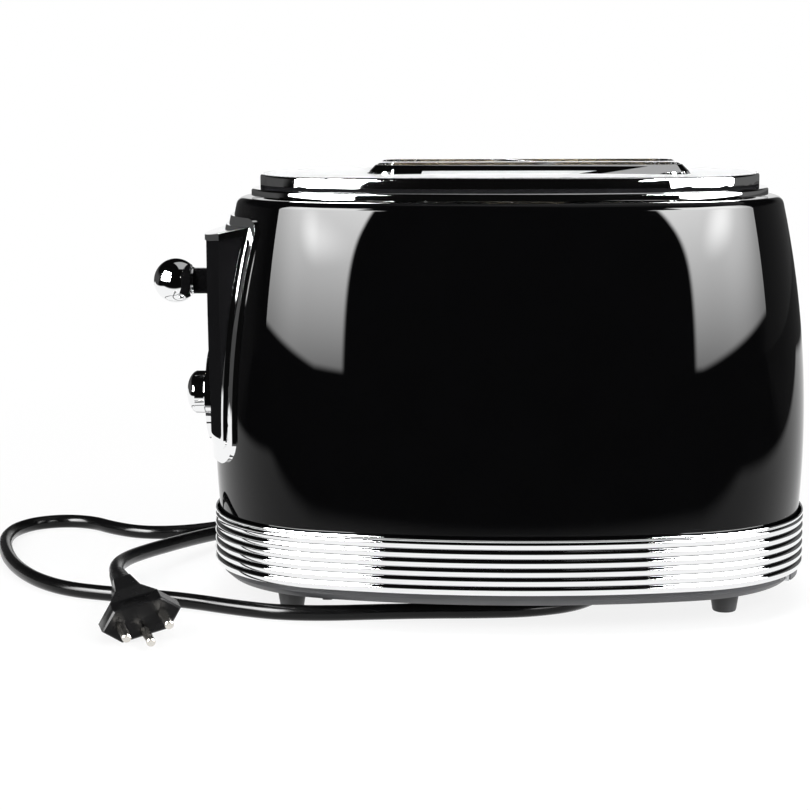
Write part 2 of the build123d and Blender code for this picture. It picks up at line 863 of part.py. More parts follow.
# Four wire guides, each two long wires joined by uprights, which close on the bread.
guide_middle_x = (guide_left + guide_right) / 2
guide_names = {
    "bread_guide_front_outer": slot_rows[0] - guide_open,
    "bread_guide_front_inner": slot_rows[0] + guide_open,
    "bread_guide_rear_inner": slot_rows[1] - guide_open,
    "bread_guide_rear_outer": slot_rows[1] + guide_open,
}
for guide_name, y in guide_names.items():
    with BuildPart() as bread_guide:
        with BuildSketch(across(guide_left)):
            with Locations((y, guide_bottom), (y, guide_top)):
                Circle(guide_wire)
        extrude(amount=guide_right - guide_left)
        with BuildSketch(level(guide_bottom)):
            with Locations((guide_middle_x, y)):
                with GridLocations(guide_wire_pitch, 1, guide_wire_count, 1):
                    Circle(guide_upright)
        extrude(amount=guide_top - guide_bottom)
    finish(bread_guide.part, guide_name)

# ================================================================ carriage
with BuildPart() as guide_rod:
    with BuildSketch(level(foot_height + pan_floor)):
        with Locations((rod_x, 0)):
            Circle(rod_radius)
    extrude(amount=rod_top - foot_height - pan_floor)
    chamfer(guide_rod.edges().sort_by(Axis.Z)[-1], length=rod_radius / 5)
finish(guide_rod.part, "guide_rod")

with BuildPart() as carriage_bracket:
    with BuildSketch(level(bushing_bottom)):
        with Locations((rod_x, 0)):
            Circle(bushing_radius)
    extrude(amount=bushing_top - bushing_bottom)
    with BuildSketch(level(bushing_bottom)):
        with Locations(((rod_x + cross_plate_x) / 2, 0)):
            Rectangle(cross_plate_x - rod_x, bushing_radius)
    extrude(amount=rack_top - bushing_bottom)
    with BuildSketch(across(cross_plate_x)):
        with Locations((0, (rack_bottom + rack_top) / 2)):
            RectangleRounded(
                2 * cross_plate_half_width,
                rack_top - rack_bottom + 2 * cross_plate_margin,
                cross_plate_margin,
            )
    extrude(amount=-cross_plate_sheet)
    with BuildSketch(level(bushing_bottom)):
        with Locations((rod_x, 0)):
            Circle(rod_radius + rod_clearance)
    extrude(amount=bushing_top - bushing_bottom, mode=Mode.SUBTRACT)
finish(carriage_bracket.part, "carriage_bracket")

for rack_name, row in (("bread_rack_front", slot_rows[0]), ("bread_rack_rear", slot_rows[1])):
    with BuildPart() as bread_rack:
        with BuildSketch(lengthwise(row)):
            with Locations(((cross_plate_x + rack_right) / 2, (rack_bottom + rack_top) / 2)):
                Rectangle(rack_right - cross_plate_x, rack_top - rack_bottom)
                with GridLocations(rack_tab_pitch, 1, rack_tab_count - 1, 1):
                    RectangleRounded(
                        rack_tab_pitch / 2,
                        (rack_top - rack_bottom) / 2,
                        rack_notch_corner,
                        mode=Mode.SUBTRACT,
                    )
        extrude(amount=rack_sheet / 2, both=True)
        with BuildSketch(level(rack_top - rack_tab_height)):
            with Locations((collar_middle, row)):
                with GridLocations(rack_tab_pitch, 1, rack_tab_count, 1):
                    Rectangle(rack_sheet, 2 * rack_tab_half_width)
        extrude(amount=rack_tab_height)
    finish(bread_rack.part, rack_name)

with BuildPart() as lift_spring:
    spring_length = bushing_bottom - spring_bottom - spring_gap
    with BuildLine() as coil_line:
        Helix(
            pitch=spring_length / spring_turns,
            height=spring_length,
            radius=spring_radius,
            center=(body_x + rod_x, 0, spring_bottom),
        )
    with BuildSketch(Plane(coil_line.line @ 0, z_dir=coil_line.line % 0)):
        RegularPolygon(spring_wire, 6)
    sweep(path=coil_line.wires()[0], is_frenet=True)
finish(lift_spring.part, "lift_spring")

with BuildPart() as lever_stem:
    with BuildSketch(across(ball_neck_x - ball_socket)):
        with Locations((0, lever_height)):
            RectangleRounded(stem_width, stem_height, stem_corner)
    extrude(amount=rod_x - bushing_radius - (ball_neck_x - ball_socket) + stem_seat)
    with BuildSketch(level(bushing_bottom)):
        with Locations((rod_x, 0)):
            Circle(bushing_radius)
    extrude(amount=bushing_top - bushing_bottom, mode=Mode.SUBTRACT)
finish(lever_stem.part, "lever_stem")

# Chrome ball on a short grooved neck, turned about the lever's axis.
with BuildPart() as lever_ball:
    with BuildSketch(lengthwise()):
        with BuildLine():
            neck_start = ball_neck_x - ball_neck_length
            neck_z = math.sqrt(ball_radius**2 - (neck_start - ball_x) ** 2)
            ball_arc = ThreePointArc(
                (ball_x - ball_radius, lever_height),
                (ball_x, lever_height + ball_radius),
                (neck_start, lever_height + neck_z),
            )
            Polyline(
                ball_arc @ 1,
                (ball_neck_x - ball_neck_groove, lever_height + ball_neck_radius - ball_neck_step),
                (ball_neck_x - ball_neck_round, lever_height + ball_neck_radius),
                (ball_neck_x, lever_height + ball_neck_radius),
                (ball_neck_x, lever_height),
                ball_arc @ 0,
            )
        make_face()
    revolve(axis=Axis((body_x, 0, lever_height), (1, 0, 0)))
    add(lever_stem.part, mode=Mode.SUBTRACT)
finish(lever_ball.part, "lever_ball")

# ================================================================ latch and circuit board
with BuildPart() as circuit_board:
    with BuildSketch(across(board_x - board_sheet / 2)):
        with Locations((0, (board_bottom + board_top) / 2)):
            Rectangle(2 * board_half_width, board_top - board_bottom)
        with Locations((0, dial_height)):
            Circle(board_hole, mode=Mode.SUBTRACT)
    extrude(amount=board_sheet)
finish(circuit_board.part, "circuit_board")

with BuildPart() as latch_magnet:
    magnet_face = board_x + board_sheet / 2
    core_x = magnet_face + core_reach
    with BuildSketch(across(magnet_face, magnet_y)):
        with Locations((0, (magnet_bottom + magnet_top - pole_gap) / 2)):
            Rectangle(magnet_width, magnet_top - magnet_bottom - pole_gap)
    extrude(amount=magnet_sheet)
    with BuildSketch(level(magnet_bottom)):
        with Locations((magnet_face + magnet_depth / 2, magnet_y)):
            Rectangle(magnet_depth, magnet_width)
    extrude(amount=magnet_sheet)
    with BuildSketch(level(magnet_bottom)):
        with Locations((core_x, magnet_y)):
            Circle(core_radius)
    extrude(amount=magnet_top - magnet_bottom)
    with BuildSketch(level(magnet_bottom + magnet_sheet)):
        with Locations((core_x, magnet_y)):
            Circle(coil_radius)
    extrude(amount=magnet_top - magnet_bottom - magnet_sheet - pole_gap)
finish(latch_magnet.part, "latch_magnet")

with BuildPart() as latch_armature:
    armature_end = magnet_y + coil_radius
    armature_start = bushing_radius - armature_overlap
    with BuildSketch(level(magnet_top + lever_travel + armature_gap)):
        with Locations((rod_x, (armature_start + armature_end) / 2)):
            RectangleRounded(armature_width, armature_end - armature_start, armature_sheet)
        with Locations((rod_x, 0)):
            Circle(bushing_radius, mode=Mode.SUBTRACT)
    extrude(amount=armature_sheet)
finish(latch_armature.part, "latch_armature")

with BuildPart() as potentiometer:
    pot_face = board_x - board_sheet / 2
    with BuildSketch(across(pot_face, z=dial_height)):
        Circle(pot_radius)
        Circle(shaft_radius + shaft_clearance, mode=Mode.SUBTRACT)
    extrude(amount=-pot_depth)
finish(potentiometer.part, "potentiometer")

with BuildPart() as dial_shaft:
    with BuildSketch(across(pot_face, z=dial_height)):
        Circle(shaft_radius)
    extrude(amount=knob_back_x - knob_skirt - pot_face)
finish(dial_shaft.part, "dial_shaft")

# Domed knob with a short straight skirt, turned about the shaft.
with BuildPart() as browning_knob:
    with BuildSketch(lengthwise()) as knob_section:
        with BuildLine():
            skirt_x = knob_back_x - knob_skirt
            crown_x = knob_face_x + knob_crown * (skirt_x - knob_face_x)
            face = ThreePointArc(
                (knob_face_x, dial_height),
                (crown_x, dial_height + knob_radius / 2),
                (skirt_x, dial_height + knob_radius),
            )
            Polyline(
                face @ 1,
                (knob_back_x - knob_edge, dial_height + knob_radius),
                (knob_back_x, dial_height + knob_radius - knob_edge),
                (knob_back_x, dial_height),
                face @ 0,
            )
        make_face()
    revolve(axis=Axis((body_x, 0, dial_height), (1, 0, 0)))
    add(dial_shaft.part, mode=Mode.SUBTRACT)
finish(browning_knob.part, "browning_knob")

# ================================================================ control panel
ledge_end_x = -half_length - ball_radius  # past the front of every piece of the panel
ledge_ends = [
    (x, ledge_line(front, back, x))
    for x, front, back in (
        (panel_root_x, ledge_front_z, ledge_back_z),
        (ledge_end_x, ledge_front_z, ledge_back_z),
        (ledge_end_x, ledge_front_top, ledge_back_top),
        (panel_root_x, ledge_front_top, ledge_back_top),
    )
]

# The frame's opening, which ends under the ledge, and the panel's outside within it.
with BuildPart() as panel_opening:
    with BuildSketch(across(panel_root_x)) as panel_face:
        with Locations((0, (panel_bottom + frame_top) / 2)):
            Rectangle(2 * panel_half_width, frame_top - panel_bottom)
        fillet(panel_face.vertices().group_by(Axis.Y)[0], radius=panel_corner)
    extrude(amount=-half_length / 2)
    with BuildSketch(lengthwise()):
        with BuildLine():
            Polyline(
                ledge_ends[0],
                ledge_ends[1],
                (ledge_end_x, frame_top),
                (panel_root_x, frame_top),
                close=True,
            )
        make_face()
    extrude(amount=half_depth, both=True, mode=Mode.SUBTRACT)

# Bowed panel with thin walls: the lever's window and the dial's hole go through its front.
with BuildPart() as control_panel:
    add(panel_opening.part)
    add(panel_form, mode=Mode.INTERSECT)
    with BuildPart(mode=Mode.PRIVATE) as panel_space:
        with BuildSketch(across(panel_root_x)):
            with Locations((0, (panel_bottom + ledge_front_z) / 2)):
                Rectangle(
                    2 * (panel_half_width - panel_wall),
                    ledge_front_z - panel_bottom - 2 * panel_wall,
                )
        extrude(amount=-half_length / 2)
        add(panel_inner_form, mode=Mode.INTERSECT)
    add(panel_space.part, mode=Mode.SUBTRACT)
    add(barrel_form, mode=Mode.SUBTRACT)
    with BuildSketch(across(panel_root_x)):
        with Locations((0, (window_top + window_bottom) / 2)):
            RectangleRounded(2 * window_half_width, window_top - window_bottom, window_corner)
        with Locations((0, dial_height)):
            Circle(bezel_hole)
    extrude(amount=-half_length / 2, mode=Mode.SUBTRACT)
finish(control_panel.part, "control_panel")

# The frame's ledge over the panel, and its lip under it, reach as far out as the panel.
bead_half_width = panel_half_width + bead_width
with BuildPart() as frame_ledge:
    with BuildSketch(lengthwise()):
        with BuildLine():
            Polyline(*ledge_ends, close=True)
        make_face()
    extrude(amount=bead_half_width, both=True)
    add(ledge_form, mode=Mode.INTERSECT)

with BuildPart() as frame_lip:
    with BuildSketch(across(panel_root_x)) as lip_face:
        with Locations((0, (frame_lip_bottom + panel_bottom + panel_corner) / 2)):
            Rectangle(2 * bead_half_width, panel_bottom + panel_corner - frame_lip_bottom)
        fillet(lip_face.vertices().group_by(Axis.Y)[0], radius=frame_lip_corner)
    extrude(amount=-half_length / 2)
    add(panel_form, mode=Mode.INTERSECT)

with BuildPart() as frame_bead:
    with BuildSketch(across(panel_root_x)):
        with Locations((0, (panel_bottom + ledge_back_top) / 2)):
            Rectangle(2 * bead_half_width, ledge_back_top - panel_bottom)
    extrude(amount=-half_length / 2)
    add(bead_form, mode=Mode.INTERSECT)

# Pressed frame: a flange on the housing, with a bead, a ledge and a lip round the panel.
with BuildPart() as panel_frame:
    with BuildSketch(across(panel_root_x)) as flange_face:
        with Locations((0, (frame_bottom + frame_top) / 2)):
            Rectangle(2 * frame_half_width, frame_top - frame_bottom)
        fillet(flange_face.vertices().group_by(Axis.Y)[-1], radius=frame_corner_top)
        fillet(flange_face.vertices().group_by(Axis.Y)[0], radius=frame_corner_bottom)
    extrude(amount=-half_length / 2)
    add(flange_form, mode=Mode.INTERSECT)
    add(frame_bead.part)
    add(frame_lip.part)
    add(frame_ledge.part)
    add(panel_opening.part, mode=Mode.SUBTRACT)
    add(barrel_form, mode=Mode.SUBTRACT)
finish(panel_frame.part, "panel_frame")

# Domed ring round the shaft, cut to the panel's curve at its back.
with BuildPart() as dial_bezel:
    with BuildSketch(lengthwise()):
        with BuildLine():
            dome = ThreePointArc(
                (bezel_edge_x, dial_height + bezel_radius),
                ((bezel_edge_x + 3 * bezel_face_x) / 4, dial_height + bezel_radius / 2),
                (bezel_face_x, dial_height),
            )
            Polyline(
                dome @ 1,
                (panel_root_x, dial_height),
                (panel_root_x, dial_height + bezel_radius),
                dome @ 0,
            )
        make_face()
    revolve(axis=Axis((body_x, 0, dial_height), (1, 0, 0)))
    add(panel_form, mode=Mode.SUBTRACT)
    with BuildSketch(across(panel_root_x, z=dial_height)):
        Circle(bezel_hole)
    extrude(amount=-half_length / 2, mode=Mode.SUBTRACT)
dial_bezel.part = dial_bezel.part.solids().sort_by(Axis.X)[0]
finish(dial_bezel.part, "dial_bezel")

# ================================================================ mains lead
lead_start = Vector(*cord_route[0])
lead_end = Vector(*cord_route[-1])
relief_start = lead_start.X - body_x - relief_length

# Ribbed sleeve that grips the lead where it leaves the gland under the base.
with BuildPart() as strain_relief:
    groove_edge = []
    for groove in range(relief_groove_count):
        x = relief_start + relief_groove_pitch * (groove + 1)
        radius = relief_radius - (relief_radius - relief_tip_radius) * (x - relief_start) / relief_length
        groove_edge.append((x, relief_height + radius))
        groove_edge.append((x, relief_height + radius - relief_groove_depth))
        groove_edge.append((x + relief_groove_width, relief_height + radius - relief_groove_depth))
        groove_edge.append((x + relief_groove_width, relief_height + radius))
    with BuildSketch(lengthwise(relief_y)):
        with BuildLine():
            Polyline(
                (relief_start - gland_length, relief_height),
                (relief_start - gland_length, relief_height + relief_tip_radius),
                (relief_start, relief_height + relief_tip_radius),
                (relief_start, relief_height + relief_radius),
                *groove_edge,
                (relief_start + relief_length, relief_height + relief_tip_radius),
                (relief_start + relief_length, relief_height),
                close=True,
            )
        make_face()
    revolve(axis=Axis((body_x, relief_y, relief_height), (1, 0, 0)))
finish(strain_relief.part, "strain_relief")

# Straight runs joined by tangent arcs, each as large as its two runs allow.
run_lengths = []
arc_radii = []
for start, end in zip(cord_route[:-1], cord_route[1:]):
    run_lengths.append((Vector(*end) - Vector(*start)).length)
for index in range(1, len(cord_route) - 1):
    before = Vector(*cord_route[index]) - Vector(*cord_route[index - 1])
    after = Vector(*cord_route[index + 1]) - Vector(*cord_route[index])
    half_turn = math.radians(before.get_angle(after) / 2)
    shorter_run = min(run_lengths[index - 1], run_lengths[index])
    arc_radii.append(cord_arc_share * shorter_run / math.tan(half_turn))
print("smallest bend of the lead", round(min(arc_radii), 1), "in", len(arc_radii))

with BuildPart() as mains_cord:
    with BuildLine() as cord_path:
        FilletPolyline(*cord_route, radius=arc_radii)
    lead_wire = cord_path.wires()[0]
    with BuildSketch(Plane(lead_wire @ 0, z_dir=lead_wire % 0)):
        Circle(cord_radius)
    sweep(path=lead_wire)
print("lead", round(lead_wire.length, 1), "long, volume ratio",
      round(mains_cord.part.volume / (math.pi * cord_radius**2 * lead_wire.length), 4))
finish(mains_cord.part, "mains_cord")

# ================================================================ mains plug
plug_axis = (lead_end - Vector(*cord_route[-2])).normalized()  # towards the pins
plug_level = Vector(-plug_axis.Y, plug_axis.X, 0).normalized()
plug_right = plug_level.rotate(Axis((0, 0, 0), plug_axis), plug_roll)
plug_reach = plug_neck_length + sleeve_length


def plug_plane(behind):
    """A section plane of the plug, this far behind its face."""
    return Plane(lead_end + plug_axis * (plug_reach - behind), x_dir=plug_right, z_dir=plug_axis)


# Each pin has a thinner root, which is moulded into the plug and just shows at its face.
pin_places = ((-pin_spacing / 2, 0), (pin_spacing / 2, 0), (0, -earth_offset))
with BuildPart() as plug_pins:
    with BuildSketch(plug_plane(pin_seat)):
        with Locations(*pin_places):
            Circle(pin_root_radius)
    extrude(amount=pin_seat + pin_neck)
    with BuildSketch(plug_plane(-pin_neck)):
        with Locations(*pin_places):
            Circle(pin_radius)
    extrude(amount=pin_length - pin_neck)
    tips = plug_pins.faces().sort_by(Axis(lead_end, plug_axis))[-3:].edges()
    fillet(tips, radius=pin_round)
finish(plug_pins.part, "plug_pins")

# Six-sided block with its edges broken at the face, a waist behind it, and a short neck.
plug_sections = (
    (0, plug_width - 2 * plug_edge, plug_thickness - 2 * plug_edge),
    (plug_edge, plug_width, plug_thickness),
    (plug_block_length, plug_width, plug_thickness),
    (plug_length, plug_waist_width, plug_waist_thickness),
    (plug_neck_length, plug_neck_width, plug_neck_thickness),
)
with BuildPart() as plug_body:
    for behind, width, thickness in plug_sections:
        flat = plug_flat * width
        with BuildSketch(plug_plane(behind)):
            with BuildLine():
                Polyline(
                    (width / 2, 0),
                    (flat / 2, thickness / 2),
                    (-flat / 2, thickness / 2),
                    (-width / 2, 0),
                    (-flat / 2, -thickness / 2),
                    (flat / 2, -thickness / 2),
                    close=True,
                )
            make_face()
    loft(ruled=True)
    # two grip bars sunk in the top of the block
    top_middle = plug_plane(plug_block_length / 2)
    with BuildSketch(Plane(
        top_middle.origin + top_middle.y_dir * (plug_thickness / 2),
        x_dir=top_middle.x_dir,
        z_dir=top_middle.y_dir,
    )):
        with GridLocations(1, grip_bar_pitch, 1, 2):
            SlotOverall(grip_bar_width, grip_bar_length)
    extrude(amount=-grip_bar_depth, mode=Mode.SUBTRACT)
    add(plug_pins.part, mode=Mode.SUBTRACT)
finish(plug_body.part, "plug_body")

# Tapered sleeve with raised rings, from the plug's neck to the lead.
with BuildPart() as plug_sleeve:
    ring_edge = []
    for ring in range(sleeve_rings):
        low = sleeve_length * (2 * ring + 1) / (2 * sleeve_rings + 1)
        high = sleeve_length * (2 * ring + 2) / (2 * sleeve_rings + 1)
        low_radius = sleeve_radius + (sleeve_tip_radius - sleeve_radius) * low / sleeve_length
        high_radius = sleeve_radius + (sleeve_tip_radius - sleeve_radius) * high / sleeve_length
        ring_edge.append((low_radius, low))
        ring_edge.append((low_radius - sleeve_groove, low))
        ring_edge.append((high_radius - sleeve_groove, high))
        ring_edge.append((high_radius, high))
    neck_end = lead_end + plug_axis * sleeve_length
    with BuildSketch(Plane(neck_end, x_dir=plug_right, z_dir=plug_axis.cross(plug_right))):
        with BuildLine():
            Polyline(
                (0, 0), (sleeve_radius, 0), *ring_edge,
                (sleeve_tip_radius, sleeve_length), (0, sleeve_length), close=True,
            )
        make_face()
    revolve(axis=Axis(neck_end, plug_axis))
finish(plug_sleeve.part, "plug_sleeve")
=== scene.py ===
"""A two-slice pop-up toaster: black enamelled housing, chrome band, top and controls, and its lead."""

import logging
import math
from collections.abc import Sequence
from dataclasses import dataclass
from enum import Enum

import bpy
from mathutils import Matrix, Vector


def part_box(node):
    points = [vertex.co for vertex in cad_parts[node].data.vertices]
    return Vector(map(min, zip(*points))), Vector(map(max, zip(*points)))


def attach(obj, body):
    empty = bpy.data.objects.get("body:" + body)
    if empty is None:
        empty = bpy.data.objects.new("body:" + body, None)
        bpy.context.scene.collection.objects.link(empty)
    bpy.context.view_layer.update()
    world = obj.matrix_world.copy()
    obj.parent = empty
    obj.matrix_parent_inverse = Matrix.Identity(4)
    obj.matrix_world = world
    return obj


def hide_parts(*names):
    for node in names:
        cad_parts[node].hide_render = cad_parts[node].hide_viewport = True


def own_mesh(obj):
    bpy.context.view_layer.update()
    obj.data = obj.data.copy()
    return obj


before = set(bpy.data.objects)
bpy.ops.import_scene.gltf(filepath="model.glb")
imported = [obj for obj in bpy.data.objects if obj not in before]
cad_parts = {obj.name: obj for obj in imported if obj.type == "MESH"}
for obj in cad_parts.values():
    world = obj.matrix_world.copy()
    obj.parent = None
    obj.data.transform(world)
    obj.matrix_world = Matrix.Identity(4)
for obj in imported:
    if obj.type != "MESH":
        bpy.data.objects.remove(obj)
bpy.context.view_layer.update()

log = logging.getLogger("toaster")

Point = tuple[float, float, float]
Pair = tuple[float, float]
Piece = bpy.types.Object
Socket = bpy.types.NodeSocket
Value = Socket | float | Sequence[float]

TOASTER = "toaster"
LEVER = "lever"
DIAL = "dial"
MIDDLE = 0.01415  # the toaster's middle along its length
WELD = 0.000002  # corners closer than this are joined
NOISE = (0.3, 0.7)  # nearly all of a noise pattern lies between these


# --- Shading nodes ---
class Graph:
    """The shading nodes of a material, a light or a surround, and the ways of adding to them."""

    def __init__(self, owner: bpy.types.ID) -> None:
        """Turn the owner's nodes on."""
        owner.use_nodes = True
        self.tree = owner.node_tree

    def feed(self, socket: Socket, value: Value) -> None:
        """Link an input to an output, or set it.

        Args:
            socket: The input.
            value: The output that it is linked to, or the number or colour that it is set to.
        """
        if isinstance(value, bpy.types.NodeSocket):
            self.tree.links.new(value, socket)
        else:
            socket.default_value = value

    def add(self, kind: str, inputs: dict[str | int, Value], operation: str | None = None) -> bpy.types.Node:
        """Add a node and feed its inputs.

        Args:
            kind: The node's type.
            inputs: What each of its inputs gets, by name or by number.
            operation: What it does, where it has a choice.

        Returns:
            The node.
        """
        node = self.tree.nodes.new(kind)
        if operation is not None:
            node.operation = operation
        for key, value in inputs.items():
            self.feed(node.inputs[key], value)
        return node

    def place(self, kind: str) -> Socket:
        """Read the coordinates of one kind."""
        return self.add("ShaderNodeTexCoord", {}).outputs[kind]

    def split(self, place: Socket) -> tuple[Socket, Socket, Socket]:
        """Take a place apart into its three coordinates."""
        parts = self.add("ShaderNodeSeparateXYZ", {"Vector": place}).outputs
        return parts["X"], parts["Y"], parts["Z"]

    def distance(self, place: Socket) -> Socket:
        """Measure how far a place is from the origin."""
        return self.add("ShaderNodeVectorMath", {0: place}, "LENGTH").outputs["Value"]

    def noise(self, place: Socket, scale: float, detail: float) -> Socket:
        """Add noise of a scale counted per metre; the detail is how many finer layers it has."""
        inputs = {"Vector": place, "Scale": scale, "Detail": detail}
        return self.add("ShaderNodeTexNoise", inputs).outputs["Fac"]

    def work(self, operation: str, *values: Value) -> Socket:
        """Do one operation with these values."""
        return self.add("ShaderNodeMath", dict(enumerate(values)), operation).outputs["Value"]

    def times(self, result: Socket, *factors: Value) -> Socket:
        """Multiply a value by each of these factors.

        Args:
            result: The value.
            factors: The factors.

        Returns:
            The product.
        """
        for factor in factors:
            result = self.work("MULTIPLY", result, factor)
        return result

    def rest(self, share: Socket) -> Socket:
        """Work out what a share leaves of 1."""
        return self.work("SUBTRACT", 1.0, share)

    def rise(self, value: Socket, start: float, end: float, low: float = 0.0, high: float = 1.0,
             smooth: bool = True) -> Socket:
        """Rise from one level to another as a value does.

        Args:
            value: What is measured.
            start: The value where the rise starts.
            end: The value where it ends.
            low: The level before the rise.
            high: The level after it.
            smooth: Whether it eases in and out.

        Returns:
            The level.
        """
        inputs = {"Value": value, "From Min": start, "From Max": end, "To Min": low, "To Max": high}
        slope = self.add("ShaderNodeMapRange", inputs)
        slope.interpolation_type = "SMOOTHSTEP" if smooth else "LINEAR"
        return slope.outputs["Result"]

    def mix(self, share: Socket, first: Value, second: Value) -> Socket:
        """Mix two values, the second by this share."""
        return self.add("ShaderNodeMix", {"Factor": share, "A": first, "B": second}).outputs["Result"]


# --- Finishes ---
@dataclass(frozen=True)
class Finish:
    """A surface finish: colour, gloss, and the unevenness that the real surface shows.

    Attributes are in the units of the shader; mottle, smear_size and grain are counted per metre, and
    facing is the share of its mirroring that the finish keeps where it is looked at straight on.
    """

    name: str
    colour: Point
    roughness: float
    metallic: float = 0.0
    specular: float = 0.5
    facing: float = 1.0
    shade: float = 0.15
    mottle: float = 40.0
    smear: float = 0.05
    smear_size: float = 60.0
    grain: float = 900.0
    relief: float = 0.00001
    bump: float = 0.1

    def material(self) -> bpy.types.Material:
        """Make the finish's node material once and hand it out again after that.

        Returns:
            The material.
        """
        title = f"{self.name}_finish"
        if title in bpy.data.materials:
            return bpy.data.materials[title]
        material = bpy.data.materials.new(title)
        material.diffuse_color = (*self.colour, 1.0)
        graph = Graph(material)
        shader = graph.tree.nodes["Principled BSDF"]
        shader.inputs["Metallic"].default_value = self.metallic
        shader.inputs["Specular IOR Level"].default_value = self.specular
        shader.inputs["Specular Tint"].default_value = (self.facing, self.facing, self.facing, 1.0)
        place = graph.place("Object")
        graph.feed(shader.inputs["Base Color"], self.tint(graph, place))
        graph.feed(shader.inputs["Roughness"], self.gloss(graph, place))
        graph.feed(shader.inputs["Normal"], self.surface(graph, place))
        return material

    def ramp(self, graph: Graph, pattern: Socket, start: float, end: float) -> Socket:
        """Run from the shaded colour to the full one as a pattern rises.

        Args:
            graph: The material's nodes.
            pattern: The pattern.
            start: Where on it the colour is still shaded.
            end: Where on it the colour is full.

        Returns:
            The colour.
        """
        ramp = graph.add("ShaderNodeValToRGB", {"Fac": pattern})
        shaded, full = ramp.color_ramp.elements
        shaded.position, full.position = start, end
        shaded.color = (*(part * (1.0 - self.shade) for part in self.colour), 1.0)
        full.color = (*self.colour, 1.0)
        return ramp.outputs["Color"]

    def tint(self, graph: Graph, place: Socket) -> Socket:
        """Mottle the colour gently."""
        return self.ramp(graph, graph.noise(place, self.mottle, detail=3.0), *NOISE)

    def gloss(self, graph: Graph, place: Socket) -> Socket:
        """Vary the gloss as wiping and handling do."""
        least, most = max(self.roughness - self.smear / 2, 0.0), self.roughness + self.smear / 2
        return graph.rise(graph.noise(place, self.smear_size, detail=5.0), *NOISE, least, most, smooth=False)

    def surface(self, graph: Graph, place: Socket) -> Socket:
        """Raise the fine grain of the surface.

        Args:
            graph: The material's nodes.
            place: Where on the piece the pattern is read.

        Returns:
            The way that the surface faces.
        """
        height = graph.noise(place, self.grain, detail=2.0)
        inputs = {"Height": height, "Strength": self.bump, "Distance": self.relief}
        return graph.add("ShaderNodeBump", inputs).outputs["Normal"]


@dataclass(frozen=True)
class RolledSheet(Finish):
    """Sheet metal with the fine lines that rolling leaves along it."""

    stretch: Point = (0.06, 1.0, 1.0)

    def surface(self, graph: Graph, place: Socket) -> Socket:
        """Draw the rolling lines as a stretched grain."""
        stretched = graph.add("ShaderNodeMapping", {"Vector": place, "Scale": self.stretch})
        return super().surface(graph, stretched.outputs["Vector"])


@dataclass(frozen=True)
class Flaked(Finish):
    """Pressed mica: flakes that differ in shade."""

    def tint(self, graph: Graph, place: Socket) -> Socket:
        """Give each flake a shade of its own."""
        flakes = graph.add("ShaderNodeTexVoronoi", {"Vector": place, "Scale": self.mottle})
        return self.ramp(graph, flakes.outputs["Color"], 0.0, 1.0)


ENAMEL = Finish("gloss_black_enamel", (0.002, 0.002, 0.0022), 0.012, facing=0.33, smear=0.008,
                smear_size=18.0, grain=140.0, bump=0.01)
CHROME = Finish("chrome", (0.90, 0.905, 0.91), 0.03, metallic=1.0, shade=0.03, smear=0.03,
                smear_size=35.0, grain=220.0, bump=0.02)
GREY_PLASTIC = Finish("dark_grey_plastic", (0.045, 0.046, 0.05), 0.42, grain=2400.0, relief=0.00003,
                      bump=0.35)
BLACK_PLASTIC = Finish("black_plastic", (0.004, 0.004, 0.0044), 0.16, specular=0.2, grain=1800.0,
                       relief=0.00002, bump=0.12)
PANEL_PLASTIC = Finish("panel_plastic", (0.007, 0.007, 0.0075), 0.6, specular=0.0, grain=2200.0,
                       relief=0.00003, bump=0.3)
PLUG_VINYL = Finish("plug_vinyl", (0.003, 0.003, 0.0033), 0.26, specular=0.14, grain=1500.0,
                    relief=0.00003, bump=0.2)
# painted shade: a near-black matte finish laid as thin lines between the band's ribs and at the foot of the
# top's upper step, where shade falls
PAINTED_SHADE = Finish("painted_shade_line", (0.006, 0.006, 0.0065), 0.7, specular=0.0)
RUBBER = Finish("black_rubber", (0.011, 0.011, 0.012), 0.55, grain=1600.0, relief=0.00005, bump=0.4)
JACKET = Finish("black_cord", (0.004, 0.004, 0.0042), 0.2, specular=0.2, smear=0.08, relief=0.00004,
                bump=0.25)
SATIN = RolledSheet("satin_chrome", (0.80, 0.805, 0.81), 0.34, metallic=0.35, shade=0.04, smear=0.04,
                    grain=700.0, relief=0.000004, bump=0.15)
NICKEL = Finish("nickel", (0.74, 0.71, 0.66), 0.2, metallic=1.0, smear=0.1)
ZINC = RolledSheet("zinc_steel", (0.56, 0.57, 0.58), 0.34, metallic=1.0, shade=0.25, smear=0.18, bump=0.3)
MICA = Flaked("mica", (0.62, 0.53, 0.38), 0.45, shade=0.35, mottle=260.0, bump=0.3)
RIBBON = RolledSheet("resistance_wire", (0.34, 0.31, 0.29), 0.42, metallic=1.0, shade=0.35, smear=0.15)
BOARD = Finish("circuit_board_green", (0.02, 0.14, 0.06), 0.35, shade=0.3, mottle=300.0)


# --- Modelling ---
class Turn(Enum):
    """The axis that a section is turned about."""

    UPRIGHT = (0.0, 0.0, 1.0)
    LENGTHWISE = (1.0, 0.0, 0.0)


@dataclass(frozen=True)
class Rounding:
    """How sharp edges are rounded: reach from the edge, faces across, least turn, and shading after it."""

    width: float
    segments: int = 3
    angle: float = 35.0
    smooth: float = 35.0


def enter(mode: str) -> None:
    """Change to this mode."""
    bpy.ops.object.mode_set(mode=mode)


def clear_selection() -> None:
    """Leave edit mode and deselect every object."""
    if bpy.context.mode != "OBJECT":
        enter("OBJECT")
    bpy.ops.object.select_all(action="DESELECT")


def pick(piece: Piece) -> None:
    """Select a piece alone.

    Args:
        piece: The piece.
    """
    clear_selection()
    piece.select_set(True)
    bpy.context.view_layer.objects.active = piece


